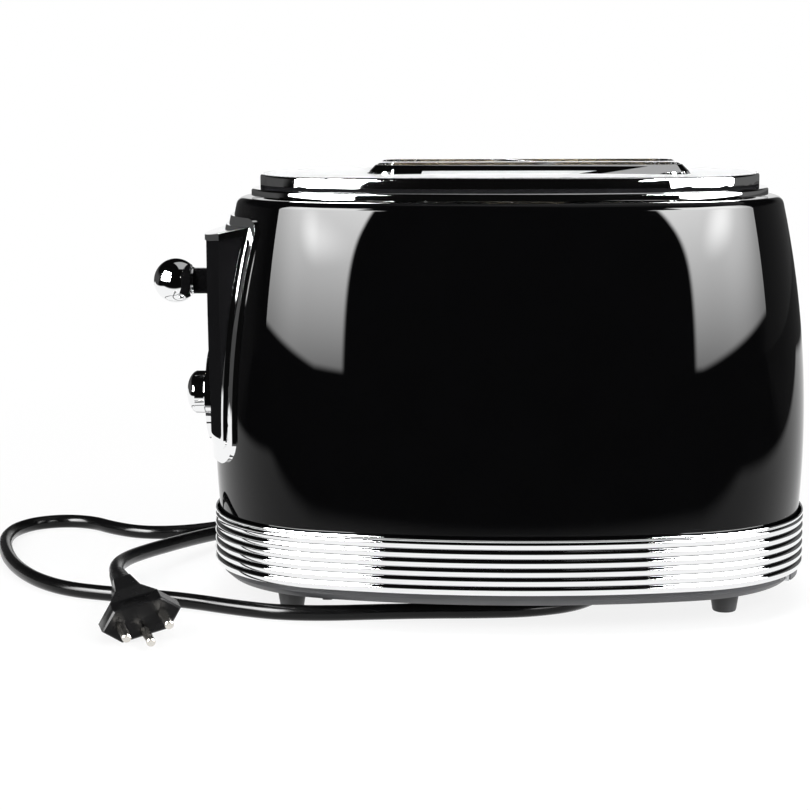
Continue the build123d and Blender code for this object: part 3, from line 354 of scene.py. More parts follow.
def put_in_scene(name: str, data: bpy.types.ID) -> Piece:
    """Make an object and put it in the scene.

    Args:
        name: Its name.
        data: Its mesh, curve, light or camera.

    Returns:
        The object.
    """
    thing = bpy.data.objects.new(name, data)
    bpy.context.scene.collection.objects.link(thing)
    return thing


def shade_smooth(smooth: float) -> None:
    """Shade the selected piece smooth, apart from edges that turn more than this many degrees."""
    bpy.ops.object.shade_smooth_by_angle(angle=math.radians(smooth))


def weld() -> None:
    """Join the doubled corners of the open piece, and leave all of it selected."""
    bpy.ops.mesh.select_all(action="SELECT")
    bpy.ops.mesh.remove_doubles(threshold=WELD)


def open_piece(name: str) -> Piece:
    """Start a piece as one vertex at the origin, left open in edit mode.

    Args:
        name: The piece's name.

    Returns:
        The piece's object.
    """
    clear_selection()
    bpy.ops.mesh.primitive_plane_add(size=0.001)
    piece = bpy.context.object
    piece.name = name
    piece.data.name = name
    enter("EDIT")
    bpy.ops.mesh.merge(type="CENTER")
    return piece


def draw(points: Sequence[Point], closed: bool) -> None:
    """Extrude the open piece's one vertex along these points.

    Args:
        points: The section's corners.
        closed: Whether the last is joined to the first.
    """
    bpy.ops.transform.translate(value=points[0])
    for here, there in zip(points[:-1], points[1:]):
        step = tuple(b - a for a, b in zip(here, there))
        bpy.ops.mesh.extrude_vertices_move(TRANSFORM_OT_translate={"value": step})
    if closed:
        mesh = bpy.context.object.data
        bpy.ops.mesh.select_all(action="DESELECT")
        enter("OBJECT")
        mesh.vertices[0].select = mesh.vertices[-1].select = True
        enter("EDIT")
        bpy.ops.mesh.edge_face_add()
    bpy.ops.mesh.select_all(action="SELECT")


def close_piece(piece: Piece, smooth: float = 30.0) -> Piece:
    """Join the doubled corners, turn the faces outward and shade the piece.

    Args:
        piece: The piece, open in edit mode.
        smooth: The angle of the shading.

    Returns:
        The piece.
    """
    weld()
    bpy.ops.mesh.normals_make_consistent(inside=False)
    enter("OBJECT")
    shade_smooth(smooth)
    return piece


def apply_modifiers(piece: Piece) -> None:
    """Apply a piece's modifiers in their order.

    Args:
        piece: The piece.
    """
    pick(piece)
    for modifier in list(piece.modifiers):
        bpy.ops.object.modifier_apply(modifier=modifier.name)


def soften(piece: Piece, rounding: Rounding) -> None:
    """Round the piece's sharp edges.

    Args:
        piece: The piece.
        rounding: How they are rounded.
    """
    bevel = piece.modifiers.new("rounding", "BEVEL")
    bevel.width = rounding.width
    bevel.segments = rounding.segments
    bevel.limit_method = "ANGLE"
    bevel.angle_limit = math.radians(rounding.angle)
    apply_modifiers(piece)
    shade_smooth(rounding.smooth)


def copied(node: str, name: str, smooth: float) -> Piece:
    """Start a piece from a node's own shape, with its corners joined.

    Args:
        node: The node.
        name: The piece's name.
        smooth: The angle of the shading.

    Returns:
        The piece.
    """
    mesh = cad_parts[node].data.copy()
    mesh.name = name
    mesh.materials.clear()
    piece = put_in_scene(name, mesh)
    pick(piece)
    enter("EDIT")
    weld()
    bpy.ops.mesh.tris_convert_to_quads()
    enter("OBJECT")
    shade_smooth(smooth)
    return piece


def turned(name: str, section: Sequence[Pair], centre: Point, axis: Turn, steps: int) -> Piece:
    """Turn a section of (along the axis, radius) pairs about an axis.

    Args:
        name: The piece's name.
        section: Its corners; the first and last lie on the axis.
        centre: A point of the axis.
        axis: Its direction.
        steps: Faces round the piece.

    Returns:
        The piece.
    """
    along = Vector(axis.value)
    out = along.orthogonal().normalized()
    piece = open_piece(name)
    draw([tuple(Vector(centre) + along * a + out * r) for a, r in section], closed=False)
    bpy.ops.mesh.spin(steps=steps, angle=2 * math.pi, center=centre, axis=axis.value)
    return close_piece(piece)


def finish_piece(piece: Piece, finish: Finish, body: str, node: str) -> None:
    """Dress a piece, set it on its body and hide the node that it stands for.

    Args:
        piece: The piece.
        finish: What it is finished in.
        body: The body that it rides on.
        node: The node that it replaces.
    """
    piece.data.materials.clear()
    piece.data.materials.append(finish.material())
    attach(piece, body)
    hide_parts(node)
    log.info("%s on %s in %s", piece.name, body, finish.name)


def refine(node: str, name: str, finish: Finish, rounding: Rounding | None = None,
           smooth: float = 25.0, body: str = TOASTER) -> Piece:
    """Make a piece of a node's own shape, with rounded edges and its finish.

    Args:
        node: The node.
        name: The piece's name.
        finish: What it is finished in.
        rounding: How its edges are rounded, where they are.
        smooth: The angle of the shading before that.
        body: The body that it rides on.

    Returns:
        The piece.
    """
    piece = copied(node, name, smooth)
    if rounding is not None:
        soften(piece, rounding)
    finish_piece(piece, finish, body, node)
    return piece


def dress(finish: Finish, *nodes: str) -> None:
    """Give nodes that keep their shape their finish.

    Args:
        finish: The finish.
        nodes: The nodes.
    """
    for name in nodes:
        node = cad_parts[name]
        material = finish.material()
        if not node.material_slots:
            node.data.materials.append(material)
        for slot in node.material_slots:
            slot.material = material
        log.info("%s in %s", name, finish.name)


def arc(centre: Pair, radius: float, start: float, end: float, steps: int) -> list[Pair]:
    """List the points of an arc between two angles in degrees."""
    turns = [math.radians(start + (end - start) * step / steps) for step in range(steps + 1)]
    return [(centre[0] + radius * math.cos(turn), centre[1] + radius * math.sin(turn)) for turn in turns]


@dataclass
class Outline:
    """The oval of tangent arcs that the housing, band, base and top all follow."""

    half_length: float = 0.1400
    half_depth: float = 0.0876
    end_angle: float = 8.0
    side_angle: float = 75.0
    corner_radius: float = 0.072
    end_steps: int = 5
    corner_steps: int = 34
    side_steps: int = 28

    def arcs(self) -> list[tuple[Point, float, int]]:
        """Work out the arcs, once round from the right end.

        Returns:
            A centre, a turn in degrees and a number of steps for each arc.
        """
        end, side = math.radians(self.end_angle), math.radians(self.side_angle)
        slope = (1 - math.sin(side)) / math.cos(side)
        reach = self.half_length + self.corner_radius * (math.cos(side) - math.cos(end))
        rise = self.half_depth - self.corner_radius * (math.sin(side) - math.sin(end))
        end_radius = (rise - slope * reach) / (math.sin(end) + slope * (math.cos(end) - 1))
        side_radius = (reach + end_radius * (math.cos(end) - 1)) / math.cos(side)
        end_x = self.half_length - end_radius
        side_y = self.half_depth - side_radius
        corner_x = end_x + (end_radius - self.corner_radius) * math.cos(end)
        corner_y = (end_radius - self.corner_radius) * math.sin(end)
        corner_turn = self.side_angle - self.end_angle
        rear = [((corner_x, corner_y), corner_turn, self.corner_steps),
                ((0.0, side_y), 180 - 2 * self.side_angle, self.side_steps),
                ((-corner_x, corner_y), corner_turn, self.corner_steps)]
        front = [((-x, -y), turn, steps) for (x, y), turn, steps in rear]
        right_half = ((end_x, 0.0), self.end_angle, self.end_steps)
        left = ((-end_x, 0.0), 2 * self.end_angle, 2 * self.end_steps)
        plan = [right_half, *rear, left, *front, right_half]
        return [((MIDDLE + x, y, 0.0), turn, steps) for (x, y), turn, steps in plan]

    def carry(self, name: str, section: Sequence[Pair], smooth: float = 30.0) -> Piece:
        """Carry a closed section of (half length, height) pairs once round the outline.

        Args:
            name: The piece's name.
            section: The section's corners.
            smooth: The angle of the shading.

        Returns:
            The piece.
        """
        piece = open_piece(name)
        draw([(MIDDLE + x, 0.0, z) for x, z in section], closed=True)
        for centre, turn, steps in self.arcs():
            bpy.ops.mesh.spin(steps=steps, angle=-math.radians(turn), center=centre, axis=Turn.UPRIGHT.value)
        return close_piece(piece, smooth)


# --- Housing ---
@dataclass
class Housing:
    """The enamelled barrel, its chrome band and the plastic base that it stands in.

    A rib's crest is a part of its pitch, and its shares are parts of the way from the crest down or up.
    The pairs of the rim's roll are an inset from the half length and a drop from the band's top.
    """

    outline: Outline
    widest: float = 0.1391
    widest_height: float = 0.082
    barrel_radius: float = 0.475
    bottom: float = 0.020
    top: float = 0.190
    barrel_steps: int = 24
    shoulder: float = 0.004
    shoulder_steps: int = 10
    support: float = 0.0003
    sheet: float = 0.001
    inner_heights: Sequence[float] = (0.150, 0.120, 0.082, 0.05)
    lip: float = 0.111
    lip_fold: float = 0.002
    rib_count: int = 6
    rib_pitch: float = 0.0041
    rib_depth: float = 0.0012
    rib_crest: float = 0.64
    rib_under: float = 1.6
    rib_over: float = 1.4
    rib_shares: Sequence[float] = (-0.84, -0.7, -0.5, -0.3, -0.1, 0.0, 0.05, 0.15, 0.3, 0.5, 0.7, 0.84)
    crevice: float = 0.93
    # reach above and below each gap between ribs that gets the painted shade
    shade_line_reach: float = 0.00005
    rib_bottom: float = 0.0169
    band_top: float = 0.0426
    band_inner: float = 0.1381
    rim_inner: float = 0.1390
    rim_roll: Sequence[Pair] = ((0.0003, 0.0009), (0.0002, 0.0004), (0.0004, 0.0))
    rim_step: float = 0.0004
    slot_size: Point = (0.05, 0.0108, 0.0440)
    slot_height: float = 0.13665

    def barrel(self, height: float) -> float:
        """Work out the half length of the barrel's outside at a height."""
        rise = height - self.widest_height
        return self.widest - self.barrel_radius + math.sqrt(self.barrel_radius**2 - rise**2)

    def build_shell(self) -> None:
        """Press the barrel: a long bulge, a rounded shoulder and a turned-in lip."""
        start = self.top - self.shoulder
        side = []
        for step in range(self.barrel_steps + 1):
            height = self.bottom + (start - self.bottom) * step / self.barrel_steps
            side.append((self.barrel(height), height))
        side.insert(-1, (self.barrel(start - self.support), start - self.support))
        lean = math.asin((start - self.widest_height) / self.barrel_radius)
        corner = (side[-1][0] - self.shoulder * math.cos(lean), start - self.shoulder * math.sin(lean))
        side += arc(corner, self.shoulder, math.degrees(lean), 90.0, self.shoulder_steps)[1:]
        rise = side[-1][1]
        heights = (start - self.sheet, *self.inner_heights, self.bottom)
        inner = [(self.barrel(height) - self.sheet, height) for height in heights]
        under = rise - self.sheet
        lip = [(self.lip, rise), (self.lip, under), (inner[0][0] - self.lip_fold, under)]
        piece = self.outline.carry("housing_shell", side + lip + inner)
        self.cut_slot(piece)
        finish_piece(piece, ENAMEL, TOASTER, "body_shell")

    def cut_slot(self, piece: Piece) -> None:
        """Cut the slot that the lever runs in.

        Args:
            piece: The shell.
        """
        clear_selection()
        place = (MIDDLE - self.widest, 0.0, self.slot_height)
        bpy.ops.mesh.primitive_cube_add(size=1.0, location=place)
        cutter = bpy.context.object
        cutter.dimensions = self.slot_size
        bpy.ops.object.transform_apply()
        cut = piece.modifiers.new("slot", "BOOLEAN")
        cut.operation = "DIFFERENCE"
        cut.object = cutter
        cut.solver = "EXACT"
        apply_modifiers(piece)
        bpy.data.objects.remove(cutter, do_unlink=True)
        shade_smooth(30.0)

    def rib(self, low: float) -> list[Pair]:
        """Draw one rib, fuller under its crest than over it.

        Args:
            low: The height of its foot.

        Returns:
            The points of its section.
        """
        root = self.outline.half_length - self.rib_depth
        rise = self.rib_crest * self.rib_pitch
        section = []
        for share in (-self.crevice, *self.rib_shares, self.crevice):
            power, reach = (self.rib_under, rise) if share < 0 else (self.rib_over, self.rib_pitch - rise)
            out = self.rib_depth * (1 - abs(share) ** power) ** (1 / power)
            section.append((root + out, low + rise + share * reach))
        return section

    def build_band(self) -> None:
        """Roll the band: ribs with painted shade lines in the gaps between them, under a plain rim that
        stands off the barrel.
        """
        half = self.outline.half_length
        section = [(self.band_inner, self.rib_bottom)]
        for rib in range(self.rib_count):
            section += self.rib(self.rib_bottom + rib * self.rib_pitch)
        ribs_top = self.rib_bottom + self.rib_count * self.rib_pitch
        section.append((half - self.rib_depth, ribs_top))
        section += [(half - inset, self.band_top - drop) for inset, drop in self.rim_roll]
        section += [(self.rim_inner, self.band_top), (self.band_inner, ribs_top - self.rim_step)]
        piece = self.outline.carry("chrome_band", section, smooth=38.0)
        finish_piece(piece, CHROME, TOASTER, "base_band")
        # painted shade: faces within a thin reach of each gap between ribs get the near-black finish
        piece.data.materials.append(PAINTED_SHADE.material())
        shift = (1.0 - self.crevice) * (self.rib_crest - 0.5) * self.rib_pitch
        shaded_gaps = [self.rib_bottom + rib * self.rib_pitch + shift for rib in range(1, self.rib_count)]
        for face in piece.data.polygons:
            if any(abs(face.center.z - gap) < self.shade_line_reach for gap in shaded_gaps):
                face.material_index = 1

    def build(self) -> None:
        """Build the shell, the band, and the base with the rails and bosses that its solid has."""
        self.build_shell()
        self.build_band()
        refine("base_pan", "base_moulding", GREY_PLASTIC,
               Rounding(0.0004, segments=2, angle=30.0, smooth=30.0), smooth=20.0)


@dataclass
class Footing:
    """Rubber feet, cord cleats and base screws.

    Each pair of a foot's tread and shoulder is a height from its end and an inset from its radius there.
    """

    spread_x: float = 0.100
    spread_y: float = 0.0415
    height: float = 0.0112
    top_radius: float = 0.00725
    bottom_radius: float = 0.0055
    tread: Sequence[Pair] = ((0.0, 0.0016), (0.0006, 0.0011), (0.0, 0.0009), (0.0003, 0.0003), (0.0009, 0.0))
    shoulder: Sequence[Pair] = ((0.0006, 0.0002), (0.0, 0.0006))
    spigot: float = 0.003
    foot_steps: int = 40

    def build_feet(self) -> None:
        """Turn one tapered foot with a grooved tread and copy it to the four corners."""
        section = [(0.0, 0.0)] + [(rise, self.bottom_radius - inset) for rise, inset in self.tread]
        section += [(self.height - drop, self.top_radius - inset) for drop, inset in self.shoulder]
        section += [(self.height, self.spigot), (self.height + self.spigot, self.spigot),
                    (self.height + self.spigot, 0.0)]
        first = turned("rubber_foot", section, (MIDDLE, 0.0, 0.0), Turn.UPRIGHT, self.foot_steps)
        for end, y in (("front", -self.spread_y), ("rear", self.spread_y)):
            for side, x in (("left", -self.spread_x), ("right", self.spread_x)):
                foot = put_in_scene(f"rubber_foot_{end}_{side}", first.data.copy())
                foot.data.transform(Matrix.Translation((x, y, 0.0)))
                finish_piece(foot, RUBBER, TOASTER, f"foot_{end}_{side}")
        bpy.data.objects.remove(first, do_unlink=True)

    def build(self) -> None:
        """Build everything under the base."""
        self.build_feet()
        for end in ("front", "rear"):
            refine(f"cord_cleat_{end}", f"cord_post_{end}", GREY_PLASTIC,
                   Rounding(0.0004, segments=2))
        dress(ZINC, "base_screws")


@dataclass
class Top:
    """The stepped chrome plate with its satin crown, and the raised collar round the slots.

    Faces whose normal rises more than level lie flat, and those where it rises less than steep stand.
    """

    crown: float = 0.1985
    level: float = 0.97
    steep: float = 0.5
    tread: float = 0.1932
    # height of the painted shade line above the lower tread
    shade_line_height: float = 0.0017

    def build(self) -> None:
        """Build the plate, with a painted shade line at the foot of its upper step, and the collar."""
        plate = copied("top_plate", "stepped_top", 30.0)
        enter("EDIT")
        bpy.ops.mesh.select_all(action="SELECT")
        bpy.ops.mesh.bisect(plane_co=(0.0, 0.0, self.tread + self.shade_line_height), plane_no=(0.0, 0.0, 1.0))
        enter("OBJECT")
        finish_piece(plate, CHROME, TOASTER, "top_plate")
        plate.data.materials.append(SATIN.material())
        # painted shade: the thin standing strip just above the lower tread gets the near-black finish
        plate.data.materials.append(PAINTED_SHADE.material())
        for face in plate.data.polygons:
            if face.normal.z > self.level and face.center.z > self.crown:
                face.material_index = 1
            elif abs(face.normal.z) < self.steep and self.tread < face.center.z < self.tread + self.shade_line_height:
                face.material_index = 2
        refine("slot_collar", "raised_collar", CHROME, smooth=30.0)


@dataclass
class Controls:
    """The control panel in its chrome frame, with the browning dial.

    The pairs of the knob's heel are a place from its back and an inset from its radius.
    """

    dial_height: float = 0.0952
    knob_radius: float = 0.0103
    knob_face: float = -0.1535
    knob_back: float = -0.1440
    knob_skirt: float = 0.0050
    knob_dome: float = 78.0
    dome_steps: int = 16
    dome_inset: float = 0.00015
    knob_support: Sequence[float] = (0.0002, 0.0005)
    knob_heel: Sequence[Pair] = ((0.0007, 0.0), (0.0004, 0.0), (0.0001, 0.0002), (0.0, 0.0005))
    knob_steps: int = 72

    def build_knob(self) -> None:
        """Turn the knob: a dome on a plain skirt with a rolled edge."""
        depth = self.knob_back - self.knob_skirt - self.knob_face
        dome = math.radians(self.knob_dome)
        section = []
        for step in range(self.dome_steps + 1):
            turn = dome * step / self.dome_steps
            section.append((depth * (1 - math.cos(turn)) / (1 - math.cos(dome)),
                            (self.knob_radius - self.dome_inset) * math.sin(turn) / math.sin(dome)))
        back = self.knob_back - self.knob_face
        section += [(depth + along, self.knob_radius) for along in self.knob_support]
        section += [(back - along, self.knob_radius - inset) for along, inset in self.knob_heel]
        section.append((back, 0.0))
        centre = (MIDDLE + self.knob_face, 0.0, self.dial_height)
        knob = turned("browning_dial", section, centre, Turn.LENGTHWISE, self.knob_steps)
        finish_piece(knob, CHROME, DIAL, "browning_knob")

    def build(self) -> None:
        """Build the bowed panel, the pressed frame round it, the domed ring and the knob."""
        refine("control_panel", "panel_cover", PANEL_PLASTIC, Rounding(0.0005, angle=40.0))
        refine("panel_frame", "panel_surround", CHROME, Rounding(0.0005, smooth=40.0))
        refine("dial_bezel", "dial_ring", CHROME, Rounding(0.0003, angle=30.0), smooth=30.0)
        self.build_knob()
        dress(ZINC, "dial_shaft")


@dataclass
class Lever:
    """The stem that comes out of the window and its chrome ball.

    The pairs of the ball's neck are a place from its end and an inset from its radius.
    """

    height: float = 0.1487
    ball: float = -0.1578
    ball_radius: float = 0.0106
    ball_steps: int = 28
    neck: float = -0.1489
    neck_radius: float = 0.0066
    neck_length: float = 0.0016
    neck_roll: Sequence[Pair] = (
        (0.0013, 0.0006), (0.0009, 0.0001), (0.0006, 0.0), (0.0002, 0.0001), (0.0, 0.0004))
    round_steps: int = 72

    def build(self) -> None:
        """Build the stem and the ball."""
        refine("lever_stem", "lever_bar", BLACK_PLASTIC,
               Rounding(0.0003, segments=2), body=LEVER)
        reach = self.neck - self.neck_length - self.ball
        last = math.degrees(math.acos(reach / self.ball_radius))
        section = arc((self.ball, 0.0), self.ball_radius, 180.0, last, self.ball_steps)
        section[0] = (section[0][0], 0.0)
        section += [(self.neck - along, self.neck_radius - inset) for along, inset in self.neck_roll]
        section.append((self.neck, 0.0))
        centre = (MIDDLE, 0.0, self.height)
        ball = turned("lever_knob", section, centre, Turn.LENGTHWISE, self.round_steps)
        finish_piece(ball, CHROME, LEVER, "lever_ball")


# --- Lead ---
@dataclass
class Lead:
    """The mains lead from its strain relief under the base to its three-pin plug."""

    radius: float = 0.0036
    length: float = 1.161
    route: Sequence[Point] = (
        (-0.00885, 0.03, 0.0059), (0.003, 0.03, 0.0059), (0.0255, 0.029, 0.0048), (0.046, 0.018, 0.0038),
        (0.058, -0.002, 0.0036), (0.0575, -0.0255, 0.0036), (0.0455, -0.046, 0.0036),
        (0.025, -0.057, 0.0036), (0.002, -0.06, 0.0036), (-0.021, -0.061, 0.0036),
        (-0.045, -0.0635, 0.0036), (-0.068, -0.067, 0.0036), (-0.09, -0.066, 0.0036),
        (-0.111, -0.0575, 0.0036), (-0.132, -0.046, 0.0036), (-0.154, -0.038, 0.0036),
        (-0.176, -0.032, 0.0036), (-0.196, -0.0235, 0.0036), (-0.212, -0.008, 0.0036),
        (-0.225, 0.012, 0.0036), (-0.2355, 0.034, 0.0036), (-0.2435, 0.057, 0.0036),
        (-0.249, 0.077, 0.0036), (-0.2515, 0.096, 0.0036), (-0.2505, 0.113, 0.0036),
        (-0.2433, 0.128, 0.0036), (-0.228, 0.135, 0.0036), (-0.2118, 0.1303, 0.0036),
        (-0.199, 0.1165, 0.0036), (-0.1815, 0.105, 0.0036), (-0.1615, 0.106, 0.0036),
        (-0.142, 0.118, 0.0036), (-0.125, 0.135, 0.0036), (-0.109, 0.153, 0.0036), (-0.09, 0.17, 0.0036),
        (-0.068, 0.182, 0.0036), (-0.044, 0.188, 0.0036), (-0.02, 0.1855, 0.0036), (0.0, 0.1725, 0.0036),
        (0.0095, 0.151, 0.0036), (0.005, 0.128, 0.0036), (-0.012, 0.112, 0.0036), (-0.035, 0.107, 0.0036),
        (-0.059, 0.11, 0.0036), (-0.083, 0.1155, 0.0036), (-0.106, 0.1165, 0.0042),
        (-0.1255, 0.1065, 0.0056), (-0.139, 0.088, 0.0071), (-0.1485, 0.067, 0.0087),
        (-0.1565, 0.046, 0.0102), (-0.1655, 0.024, 0.0114), (-0.172, 0.0026, 0.0124),
        (-0.17313, -0.0196, 0.01281), (-0.1694, -0.0312, 0.01243))

    def build_line(self) -> Piece:
        """Lay the lead as one smooth spline.

        Returns:
            The lead's curve.
        """
        curve = bpy.data.curves.new("power_lead", "CURVE")
        curve.dimensions = "3D"
        spline = curve.splines.new("NURBS")
        spline.points.add(len(self.route) - 1)
        for point, place in zip(spline.points, self.route):
            point.co = (*place, 1.0)
        spline.order_u = 3
        spline.use_endpoint_u = True
        spline.use_smooth = True
        curve.resolution_u = 10
        curve.bevel_depth = self.radius
        curve.bevel_resolution = 6
        curve.use_fill_caps = True
        line = put_in_scene("power_lead", curve)
        finish_piece(line, JACKET, TOASTER, "mains_cord")
        return line

    def build(self) -> None:
        """Build the lead, its strain relief, the plug and the plug's sleeve."""
        line = self.build_line()
        refine("strain_relief", "ribbed_relief", PLUG_VINYL, smooth=35.0)
        plug = refine("plug_body", "plug_moulding", PLUG_VINYL,
                      Rounding(0.0009, angle=20.0, smooth=40.0))
        sleeve = refine("plug_sleeve", "plug_boot", PLUG_VINYL,
                        Rounding(0.00025, segments=2, angle=40.0), smooth=35.0)
        pins = refine("plug_pins", "plug_contacts", NICKEL, smooth=30.0)


# --- Inside ---
@dataclass
class Works:
    """What is inside: the lift spring, and solids that keep their shape and get their finishes."""

    spring_foot: float = 0.024
    spring_length: float = 0.07528
    spring_radius: float = 0.0046
    spring_turns: int = 8
    spring_steps: int = 28
    spring_squeezed: float = 0.69
    wire_radius: float = 0.0006
    wire_steps: int = 12

    def build_lift_spring(self) -> None:
        """Wind the spring round the guide rod."""
        low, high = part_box("guide_rod")
        middle = (low[0] + high[0]) / 2
        spring = open_piece("lift_coil")
        last = 360.0 - 360.0 / self.wire_steps
        section = arc((self.spring_radius, 0.0), self.wire_radius, 0.0, last, self.wire_steps - 1)
        draw([(x, 0.0, z) for x, z in section], closed=True)
        enter("OBJECT")
        winding = spring.modifiers.new("winding", "SCREW")
        winding.angle = 2 * math.pi
        winding.iterations = self.spring_turns
        winding.screw_offset = self.spring_length / self.spring_turns
        winding.steps = winding.render_steps = self.spring_steps
        apply_modifiers(spring)
        spring.location = (middle, 0.0, self.spring_foot)
        bpy.ops.object.transform_apply()
        enter("EDIT")
        weld()
        bpy.ops.mesh.fill_holes(sides=self.wire_steps)
        close_piece(spring, smooth=40.0)
        finish_piece(spring, CHROME, TOASTER, "lift_spring")
        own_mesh(spring)

    def build(self) -> None:
        """Wind the spring, and dress the chamber, the lift, the latch and the control board."""
        self.build_lift_spring()
        dress(ZINC, "end_plate_left", "end_plate_right", "heat_shield_front", "heat_shield_rear",
              "carriage_bracket", "bread_rack_front", "bread_rack_rear", "latch_magnet", "latch_armature",
              "crumb_tray")
        for place in ("front", "middle", "rear"):
            dress(MICA, f"element_board_{place}")
            dress(RIBBON, f"heating_ribbon_{place}")
        dress(CHROME, "guide_rod", "bread_guide_front_outer", "bread_guide_front_inner",
              "bread_guide_rear_inner", "bread_guide_rear_outer")
        dress(BOARD, "circuit_board")
        dress(BLACK_PLASTIC, "potentiometer")
        dress(GREY_PLASTIC, "crumb_tray_grip")


# --- Studio ---
@dataclass
class Lamp:
    """A soft lamp with an even panel; its strength is the panel's brightness, whatever its size."""

    name: str
    place: Point
    target: Point
    size: Pair
    strength: float
    shows: bool = True
    lights: bool = True

    def brightness(self, graph: Graph) -> Value:
        """Give the brightness over the panel."""
        return self.strength

    def build(self) -> None:
        """Hang the lamp, turned to its target."""
        light = bpy.data.lights.new(self.name, "AREA")
        light.shape = "RECTANGLE"
        light.size, light.size_y = self.size
        light.energy = self.size[0] * self.size[1] * math.pi
        graph = Graph(light)
        graph.feed(graph.tree.nodes["Emission"].inputs["Strength"], self.brightness(graph))
        lamp = put_in_scene(self.name, light)
        lamp.visible_camera = False
        lamp.visible_glossy = self.shows
        lamp.visible_diffuse = self.lights
        turn = (Vector(self.target) - Vector(self.place)).to_track_quat("-Z", "Y")
        lamp.matrix_world = Matrix.Translation(self.place) @ turn.to_matrix().to_4x4()


@dataclass
class Softbox(Lamp):
    """A box lamp that only shows in gloss: brightest round one spot, dimmer below, trimmed to a slant.

    Its strength is the cloth's at the head, and measures are parts of the box's size. The foot rises by
    foot_slant from the far end to the near one, the near edge flares out towards the head, and the
    cloth fades to far_share at the far end. A blur is the width over which a trimmed side fades out.
    """

    lights: bool = False
    foot_strength: float = 9.0
    spot_strength: float = 21.0
    spot: Point = (0.5, 0.5, 0.0)
    spot_size: Point = (0.26, 0.09, 1.0)
    near_right: bool = True
    near_edge: float = 0.875
    near_blur: float = 0.02
    foot: float = 0.077
    foot_slant: float = -0.0845
    foot_blur: float = 0.026
    head: float = 0.528
    head_blur: float = 0.04
    flare: float = 0.13
    flare_power: float = 5.0
    far_share: float = 0.5
    far_fade: Pair = (-0.05, 0.5)

    def brightness(self, graph: Graph) -> Value:
        """Shade the cloth.

        Args:
            graph: The lamp's nodes.

        Returns:
            The brightness over the cloth.
        """
        cloth = graph.add("ShaderNodeNewGeometry", {}).outputs["Parametric"]
        along, height, _ = graph.split(cloth)
        shade_down = graph.rise(height, 0.0, self.head, self.foot_strength, self.strength, smooth=False)
        inputs = {"Vector": cloth, "Location": self.spot, "Scale": self.spot_size}
        spread = graph.add("ShaderNodeMapping", inputs)
        spread.vector_type = "TEXTURE"
        glow = graph.rest(graph.rise(graph.distance(spread.outputs["Vector"]), 0.0, 1.0))
        lit = graph.work("ADD", shade_down, graph.times(glow, self.spot_strength))
        far = along if self.near_right else graph.rest(along)
        return graph.times(lit, self.shape(graph, far, height))

    def shape(self, graph: Graph, far: Socket, height: Socket) -> Socket:
        """Trim the cloth: a slanted foot, and a near edge that flares upward.

        Args:
            graph: The lamp's nodes.
            far: The place along the cloth from its far end.
            height: The height on the cloth.

        Returns:
            1 inside the trimmed shape, 0 outside.
        """
        bottom = graph.work("MULTIPLY_ADD", far, self.foot_slant, self.foot)
        above = graph.rise(graph.work("SUBTRACT", height, bottom), 0.0, self.foot_blur)
        raised = graph.work("MINIMUM", graph.work("DIVIDE", height, self.head), 1.0)
        below = graph.rest(graph.rise(height, self.head, self.head + self.head_blur))
        flare = graph.times(graph.work("POWER", raised, self.flare_power), below)
        edge = graph.work("MULTIPLY_ADD", flare, self.flare, self.near_edge)
        inside = graph.rise(graph.work("SUBTRACT", edge, far), 0.0, self.near_blur)
        return graph.times(above, inside, graph.rise(far, *self.far_fade, low=self.far_share))


@dataclass
class Floor:
    """A paper floor: it keeps a soft shadow, turns to plain white farther out, and mirrors dark in front.

    Pairs are where a change starts and ends. In the parts that mirror it, the floor is a white sheet
    that widens to the rear, grey beside and beyond the sheet, and dark in front.
    """

    size: float = 14.0
    paper: float = 0.9
    roughness: float = 0.8
    plain_reach: Pair = (0.30, 0.75)
    evenness: float = 0.86
    sheet_shift: float = 0.04
    sheet_flare: float = 0.6
    sheet_side: Pair = (0.50, 0.62)
    sheet_front: Pair = (-0.225, -0.16)
    sheet_rear: Pair = (1.0, 1.3)
    beyond: Pair = (0.0, 0.25)
    beyond_grey: float = 0.06
    dark: float = 0.003

    def mirrored(self, graph: Graph, place: Socket) -> Socket:
        """Work out how bright the floor is in the parts that mirror it.

        Args:
            graph: The floor's nodes.
            place: The place on the floor.

        Returns:
            The brightness.
        """
        x, y, _ = graph.split(place)
        across = graph.work("ABSOLUTE", graph.work("ADD", x, self.sheet_shift))
        flared = graph.work("MULTIPLY_ADD", y, -self.sheet_flare, across)
        side = graph.rest(graph.rise(flared, *self.sheet_side))
        rear = graph.rest(graph.rise(y, *self.sheet_rear))
        sheet = graph.times(side, graph.rise(y, *self.sheet_front), rear)
        grey = graph.rise(y, *self.beyond, high=self.beyond_grey)
        return graph.work("ADD", graph.work("MAXIMUM", sheet, grey), self.dark)

    def build(self) -> None:
        """Lay the floor."""
        clear_selection()
        bpy.ops.mesh.primitive_plane_add(size=self.size)
        floor = bpy.context.object
        floor.name = "floor"
        material = bpy.data.materials.new("floor_paper")
        graph = Graph(material)
        paper = graph.tree.nodes["Principled BSDF"]
        paper.inputs["Base Color"].default_value = (self.paper, self.paper, self.paper, 1.0)
        paper.inputs["Roughness"].default_value = self.roughness
        paper.inputs["Specular IOR Level"].default_value = 0.0
        place = graph.place("Object")
        rays = graph.add("ShaderNodeLightPath", {}).outputs
        glossy = rays["Is Glossy Ray"]
        bright = graph.mix(glossy, 1.0, self.mirrored(graph, place))
        plain = graph.add("ShaderNodeEmission", {"Strength": bright})
        far = graph.rise(graph.distance(place), *self.plain_reach, low=self.evenness)
        share = graph.work("MAXIMUM", graph.times(far, rays["Is Camera Ray"]), glossy)
        shaders = {"Fac": share, 1: paper.outputs["BSDF"], 2: plain.outputs["Emission"]}
        both = graph.add("ShaderNodeMixShader", shaders)
        graph.feed(graph.tree.nodes["Material Output"].inputs["Surface"], both.outputs["Shader"])
        floor.data.materials.append(material)


